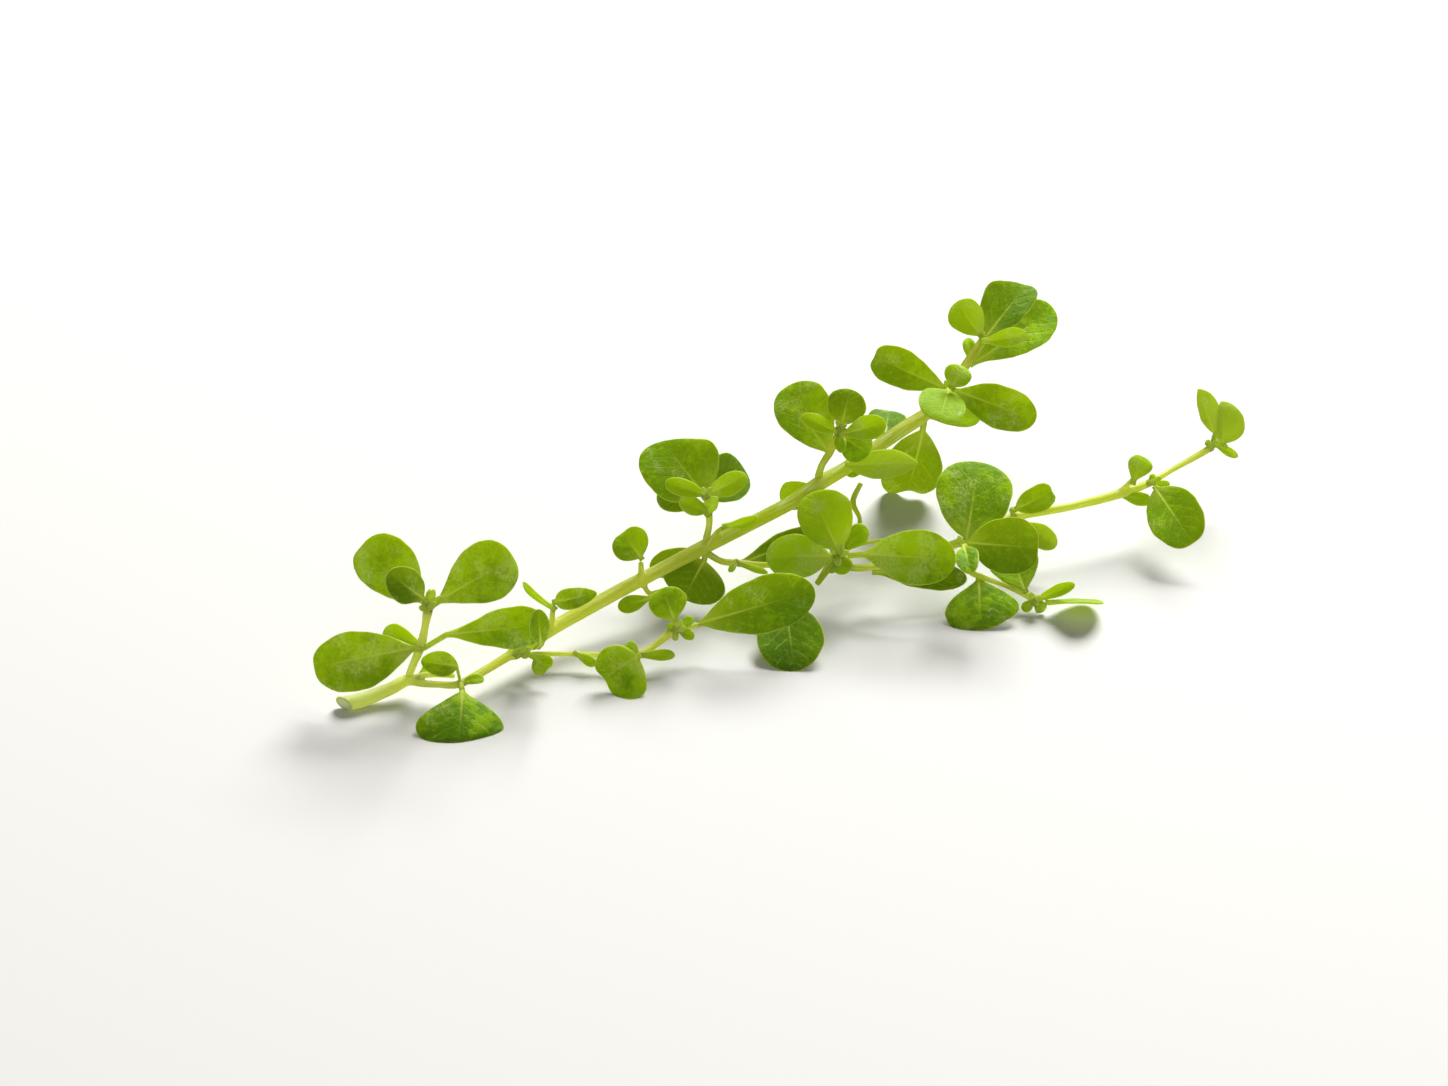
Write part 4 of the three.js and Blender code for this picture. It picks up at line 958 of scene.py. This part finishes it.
def stem_tree():
    """Geometry nodes that sweep a round section along a line whose points hold its radius."""
    tree = bpy.data.node_groups.new("Hyssop Stem", "GeometryNodeTree")
    add = tree.interface.new_socket
    add("Geometry", in_out="INPUT", socket_type="NodeSocketGeometry")
    add("Sides", in_out="INPUT", socket_type="NodeSocketInt")
    add("Material", in_out="INPUT", socket_type="NodeSocketMaterial")
    add("Geometry", in_out="OUTPUT", socket_type="NodeSocketGeometry")

    def node(kind, links=None, **settings):
        made = tree.nodes.new(kind)
        for key, setting in settings.items():
            setattr(made, key, setting)
        for key, value in (links or {}).items():
            if isinstance(value, bpy.types.NodeSocket):
                tree.links.new(value, made.inputs[key])
            else:
                made.inputs[key].default_value = value
        return made

    given = node("NodeGroupInput")
    girth = node("GeometryNodeInputNamedAttribute", {"Name": "girth"}, data_type="FLOAT")
    line = node("GeometryNodeMeshToCurve", {"Mesh": given.outputs["Geometry"]})
    section = node(
        "GeometryNodeCurvePrimitiveCircle", {"Resolution": given.outputs["Sides"], "Radius": 1.0})
    sized = node("GeometryNodeSetCurveRadius", {"Curve": line.outputs[0], "Radius": girth.outputs[0]})
    radius = node("GeometryNodeInputRadius")
    swept = node("GeometryNodeCurveToMesh", {
        "Curve": sized.outputs[0], "Profile Curve": section.outputs[0], "Scale": radius.outputs[0],
        "Fill Caps": True})
    real = node("GeometryNodeRealizeInstances", {"Geometry": swept.outputs[0]})
    painted = node("GeometryNodeSetMaterial", {
        "Geometry": real.outputs[0], "Material": given.outputs["Material"]})
    node("NodeGroupOutput", {"Geometry": painted.outputs[0]})
    return tree


def set_input(modifier, name, value):
    """Sets a geometry nodes modifier's input by its socket's identifier."""
    for item in modifier.node_group.interface.items_tree:
        if item.item_type == "SOCKET" and item.in_out == "INPUT" and item.name == name:
            modifier[item.identifier] = value


def stem_mesh(name, lines, tree, sides, grain, material):
    """Sweeps the lines of a stem, and blends them where they meet."""
    points, edges, girth = [], [], []
    for centre, radii, _ in lines:
        start = len(points)
        points += centre.tolist()
        girth += radii.tolist()
        edges += [(start + i, start + i + 1) for i in range(len(centre) - 1)]
    wire = bpy.data.meshes.new(name + "_line")
    wire.from_pydata(points, edges, [])
    store(wire, "girth", np.array(girth))
    holder = add_object(name + "_line", wire)
    sweep = holder.modifiers.new("Sweep", "NODES")
    sweep.node_group = tree
    set_input(sweep, "Sides", sides)
    set_input(sweep, "Material", material)
    blend = holder.modifiers.new("Blend", "REMESH")
    blend.mode = "VOXEL"
    blend.voxel_size = grain
    soften = holder.modifiers.new("Soften", "SMOOTH")
    soften.factor = 0.5
    soften.iterations = 5
    whole = bpy.data.meshes.new_from_object(holder.evaluated_get(bpy.context.evaluated_depsgraph_get()))
    holder.modifiers.clear()
    bpy.data.objects.remove(holder)
    bpy.data.meshes.remove(wire)
    whole.name = name
    return whole


def store_grain(mesh, lines):
    """Keeps where each point of a stem lies along and round its line, and how near a joint is."""
    tree = KDTree(sum(len(centre) for centre, _, _ in lines))
    rows = []
    for centre, _, distance in lines:
        normals, sides = turning_frames(centre)
        for i, middle in enumerate(centre):
            tree.insert(middle, len(rows))
            rows.append((middle, distance[i], normals[i], sides[i]))
    tree.balance()
    middles, distances, normals, sides = (np.array(column) for column in zip(*rows))
    points = points_of(mesh)
    nearest = np.array([tree.find(point)[1] for point in points])
    normals, sides = normals[nearest], sides[nearest]
    offset = points - middles[nearest]
    along = distances[nearest] + (offset * np.cross(normals, sides)).sum(1)
    grain = [along * STREAK_STRETCH, (offset * normals).sum(1), (offset * sides).sum(1)]
    joints = np.array([place(joint) for joint in JOINTS])
    gap = np.sqrt(((points[:, None] - joints[None]) ** 2).sum(-1)).min(1)
    store(mesh, "grain", np.stack(grain, -1))
    store(mesh, "joint", np.exp(-((gap / JOINT_REACH) ** 2)))


def cut_plane():
    """The middle of the oblique cut, and the directions along the stem, out of the cut and up the cut."""
    points, _, _ = centreline(MAIN_STEM)
    axis = unit(points[0] - points[1])
    to_eye = unit(EYE - points[0])
    facing = unit(to_eye - axis * (to_eye @ axis))
    facing = np.array(Matrix.Rotation(-CUT_LEAN, 3, Vector(axis)) @ Vector(facing))
    outwards = axis * math.cos(CUT_SLANT) + facing * math.sin(CUT_SLANT)
    return points[0], axis, outwards, facing * math.cos(CUT_SLANT) - axis * math.sin(CUT_SLANT)


def longer(line, extra):
    """A stem's line with a little more at its start, for the cut to take away."""
    points, radii, distance = line
    start = points[0] + unit(points[0] - points[1]) * extra
    pairs = (([start], points), (radii[:1], radii), ([-extra], distance))
    return tuple(np.concatenate(pair) for pair in pairs)


def cut_off(mesh):
    """Slides what is past the oblique cut back along the stem until it lies in the cut."""
    middle, axis, outwards, _ = cut_plane()
    points = points_of(mesh)
    past = np.maximum((points - middle) @ outwards, 0) / (axis @ outwards)
    mesh.vertices.foreach_set("co", (points - axis * past[:, None]).reshape(-1))


def disc_mesh(name, middle, normal, side, radius):
    """An oval plate, longer along one side, whose face follows the cut's profile."""
    other = np.cross(normal, unit(side))
    points = [middle + normal * CUT_PROFILE[0][1]]
    rims = [radius]
    for share, height in CUT_PROFILE[1:]:
        for angle in np.linspace(0, 2 * math.pi, CUT_SIDES, endpoint=False):
            spoke = side * math.cos(angle) + other * math.sin(angle)
            points.append(middle + spoke * radius * share + normal * height)
            rims.append(radius * (1 - share))
    faces = [[0, 1 + i, 1 + (i + 1) % CUT_SIDES] for i in range(CUT_SIDES)]
    outermost = len(points) - CUT_SIDES
    for ring in range(1, outermost, CUT_SIDES):
        for i in range(CUT_SIDES):
            a, b = ring + i, ring + (i + 1) % CUT_SIDES
            faces.append([a, a + CUT_SIDES, b + CUT_SIDES, b])
    faces.append(list(range(len(points) - 1, outermost - 1, -1)))
    mesh = mesh_from(name, np.array(points), faces)
    store(mesh, "rim", np.array(rims))
    return mesh


def finishes():
    """The materials, made once. All but the cut face's have the names of the record's slots."""
    shades = bpy.context.scene.hyssop_colours
    makers = {
        "leaf": lambda name: leaf_finish(name, shades.leaf, shades.leaf_deep, shades),
        "young_leaf": lambda name: leaf_finish(
            name, shades.young_leaf, shades.leaf, shades, gloss=0.4, glow_share=0.46),
        # The shaded_leaf finish is painted shade, for leaves that lie in shadow.
        "shaded_leaf": lambda name: leaf_finish(
            name, shades.leaf_deep, shades.shaded_leaf, shades, gloss=0.46, glow_share=0.36),
        "pale_leaf": lambda name: leaf_finish(
            name, shades.leaf, shades.leaf_deep, shades, gloss=0.5, glow_share=0.5, paleness=0.8),
        "main_stem": lambda name: stem_finish(name, shades.stem, shades, paleness=0.04),
        "shoot_stem": lambda name: stem_finish(name, shades.shoot, shades, paleness=0.16),
        "cut_face": lambda name: pith_finish(name, shades),
    }
    made = bpy.data.materials
    return {slot: made.get(f"hyssop_{slot}") or make(f"hyssop_{slot}") for slot, make in makers.items()}


def add_floor(stage):
    """A plain pale square under the sprig."""
    half = stage.floor_size / 2
    mesh = bpy.data.meshes.new("floor")
    corners = [(-half, -half, 0), (half, -half, 0), (half, half, 0), (-half, half, 0)]
    mesh.from_pydata(corners, [], [(0, 1, 2, 3)])
    paint = Finish("hyssop_floor")
    shader = paint.node("ShaderNodeBsdfPrincipled", sockets={
        "Base Color": (*stage.floor, 1), "Roughness": 0.75, "Specular IOR Level": 0.2})
    paint.node("ShaderNodeOutputMaterial", sockets={"Surface": shader})
    mesh.materials.append(paint.material)
    return add_object("floor", mesh)


def sky_world(stage):
    """A weak even light from all round."""
    world = bpy.data.worlds.new("hyssop_sky")
    world.use_nodes = True
    sky = world.node_tree.nodes["Background"].inputs
    sky["Color"].default_value = (*stage.sky_tint, 1)
    sky["Strength"].default_value = stage.sky
    return world


def add_light(name, towards, power, size, distance):
    """A soft square light that faces the sprig."""
    light = bpy.data.lights.new(name, "AREA")
    light.energy = power
    light.size = size
    lamp = add_object(name, light)
    direction = Vector(towards)
    lamp.location = direction.normalized() * distance
    lamp.rotation_euler = direction.to_track_quat("Z", "Y").to_euler()


def add_camera():
    """The view in which the places are read."""
    camera = bpy.data.cameras.new("camera")
    camera.lens = LENS_MM
    camera.sensor_width = SENSOR_MM
    camera.clip_start = VIEW_START
    viewer = add_object("camera", camera)
    viewer.location = Vector(EYE) * METRES_PER_MM
    viewer.rotation_euler = (math.pi / 2 - ELEVATION, 0, 0)
    return viewer


class HYSSOP_OT_stems(bpy.types.Operator):
    """Sweep the stems along their lines and blend their joints"""

    bl_idname = "hyssop.stems"
    bl_label = "Stems"

    def execute(self, context):
        sizes = context.scene.hyssop_sizes
        looks = finishes()
        tree = stem_tree()
        grain = sizes.stem_grain / METRES_PER_MM
        for stem in STEMS:
            name = stem["name"] + "_skin"
            look = looks[stem["slot"]]
            lines = [centreline(stops) for stops in [stem["stops"], *stem.get("strands", [])]]
            is_cut = stem["name"] == "main_stem"
            if is_cut:
                lines[0] = longer(lines[0], CUT_EXTRA)
            mesh = stem_mesh(name, lines, tree, sizes.stem_sides, grain, look)
            if not mesh.polygons:
                raise RuntimeError(f"the sweep gave no faces for {name}")
            if is_cut:
                cut_off(mesh)
            store_grain(mesh, lines)
            mesh.transform(Matrix.Scale(METRES_PER_MM, 4))
            mesh.shade_smooth()
            finish_piece(name, mesh, look, stem["name"])
        return {"FINISHED"}


class HYSSOP_OT_leaves(bpy.types.Operator):
    """Make the grown leaves"""

    bl_idname = "hyssop.leaves"
    bl_label = "Leaves"

    def execute(self, context):
        sizes = context.scene.hyssop_sizes
        looks = finishes()
        for seed, leaf in enumerate(LEAVES):
            tone = leaf.get("tone", USUAL_LEAF["tone"])
            name = leaf["name"] + "_blade"
            mesh = blade_mesh(name, leaf, sizes, seed, sizes.rows, sizes.columns)
            finish_piece(name, mesh, looks[tone], leaf["name"])
        return {"FINISHED"}


class HYSSOP_OT_young_leaves(bpy.types.Operator):
    """Make the small folded and rosette leaves of each stem as one piece"""

    bl_idname = "hyssop.young_leaves"
    bl_label = "Small Leaves"

    def execute(self, context):
        sizes = context.scene.hyssop_sizes
        looks = finishes()
        rows, columns = sizes.rows // 2, sizes.columns // 2
        for number, stem in enumerate(STEMS, 1):
            name = stem["name"] + "_small_leaves"
            # The rosette leaves get the high tint that paints light on them.
            tips = [dict(tip, tint=ROSETTE_TINT) for tip in TIPS[stem["name"]]]
            blades = [blade_mesh(name, leaf, sizes, seed, rows, columns)
                      for seed, leaf in enumerate(stem["buds"] + tips, SEEDS_PER_STEM * number)]
            finish_piece(name, joined(name, blades), looks["young_leaf"], stem["name"])
        return {"FINISHED"}


class HYSSOP_OT_cut_face(bpy.types.Operator):
    """Make the pale face where the sprig was cut"""

    bl_idname = "hyssop.cut_face"
    bl_label = "Cut Face"

    def execute(self, context):
        middle, _, outwards, upwards = cut_plane()
        radius = MAIN_STEM[0][3]
        mesh = disc_mesh("cut_face", middle, outwards, upwards / math.cos(CUT_SLANT), radius)
        finish_piece("cut_face", mesh, finishes()["cut_face"], "main_stem")
        return {"FINISHED"}


class HYSSOP_OT_stage(bpy.types.Operator):
    """Add the pale floor, the soft lights and the camera"""

    bl_idname = "hyssop.stage"
    bl_label = "Stage"

    def execute(self, context):
        scene = context.scene
        stage = scene.hyssop_stage
        floor = add_floor(stage)
        scene.world = sky_world(stage)
        distance = stage.light_distance
        add_light("key_light", KEY_TOWARDS, stage.key_power, stage.key_size, distance)
        add_light("fill_light", FILL_TOWARDS, stage.fill_power, stage.fill_size, distance)
        scene.camera = add_camera()
        scene.view_settings.view_transform = "Standard"
        return {"FINISHED"}


class HYSSOP_PT_sprig(bpy.types.Panel):
    """Sizes and colours of the sprig, and the steps that make it."""

    bl_idname = "HYSSOP_PT_sprig"
    bl_label = "Water Hyssop Sprig"
    bl_space_type = "VIEW_3D"
    bl_region_type = "UI"
    bl_category = "Hyssop"

    def draw(self, context):
        for group in (context.scene.hyssop_sizes, context.scene.hyssop_colours, context.scene.hyssop_stage):
            box = self.layout.box()
            for key in group.__annotations__:
                box.prop(group, key)
        for operator in OPERATORS:
            self.layout.operator(operator.bl_idname)


OPERATORS = (HYSSOP_OT_stems, HYSSOP_OT_leaves, HYSSOP_OT_young_leaves, HYSSOP_OT_cut_face, HYSSOP_OT_stage)
CLASSES = (HyssopSizes, HyssopColours, HyssopStage, *OPERATORS, HYSSOP_PT_sprig)


def register():
    for cls in CLASSES:
        bpy.utils.register_class(cls)
    bpy.types.Scene.hyssop_sizes = PointerProperty(type=HyssopSizes)
    bpy.types.Scene.hyssop_colours = PointerProperty(type=HyssopColours)
    bpy.types.Scene.hyssop_stage = PointerProperty(type=HyssopStage)


def unregister():
    del bpy.types.Scene.hyssop_stage
    del bpy.types.Scene.hyssop_colours
    del bpy.types.Scene.hyssop_sizes
    for cls in reversed(CLASSES):
        bpy.utils.unregister_class(cls)


def main():
    register()
    bpy.ops.hyssop.stems()
    bpy.ops.hyssop.leaves()
    bpy.ops.hyssop.young_leaves()
    bpy.ops.hyssop.cut_face()
    bpy.ops.hyssop.stage()


if __name__ == "__main__":
    main()
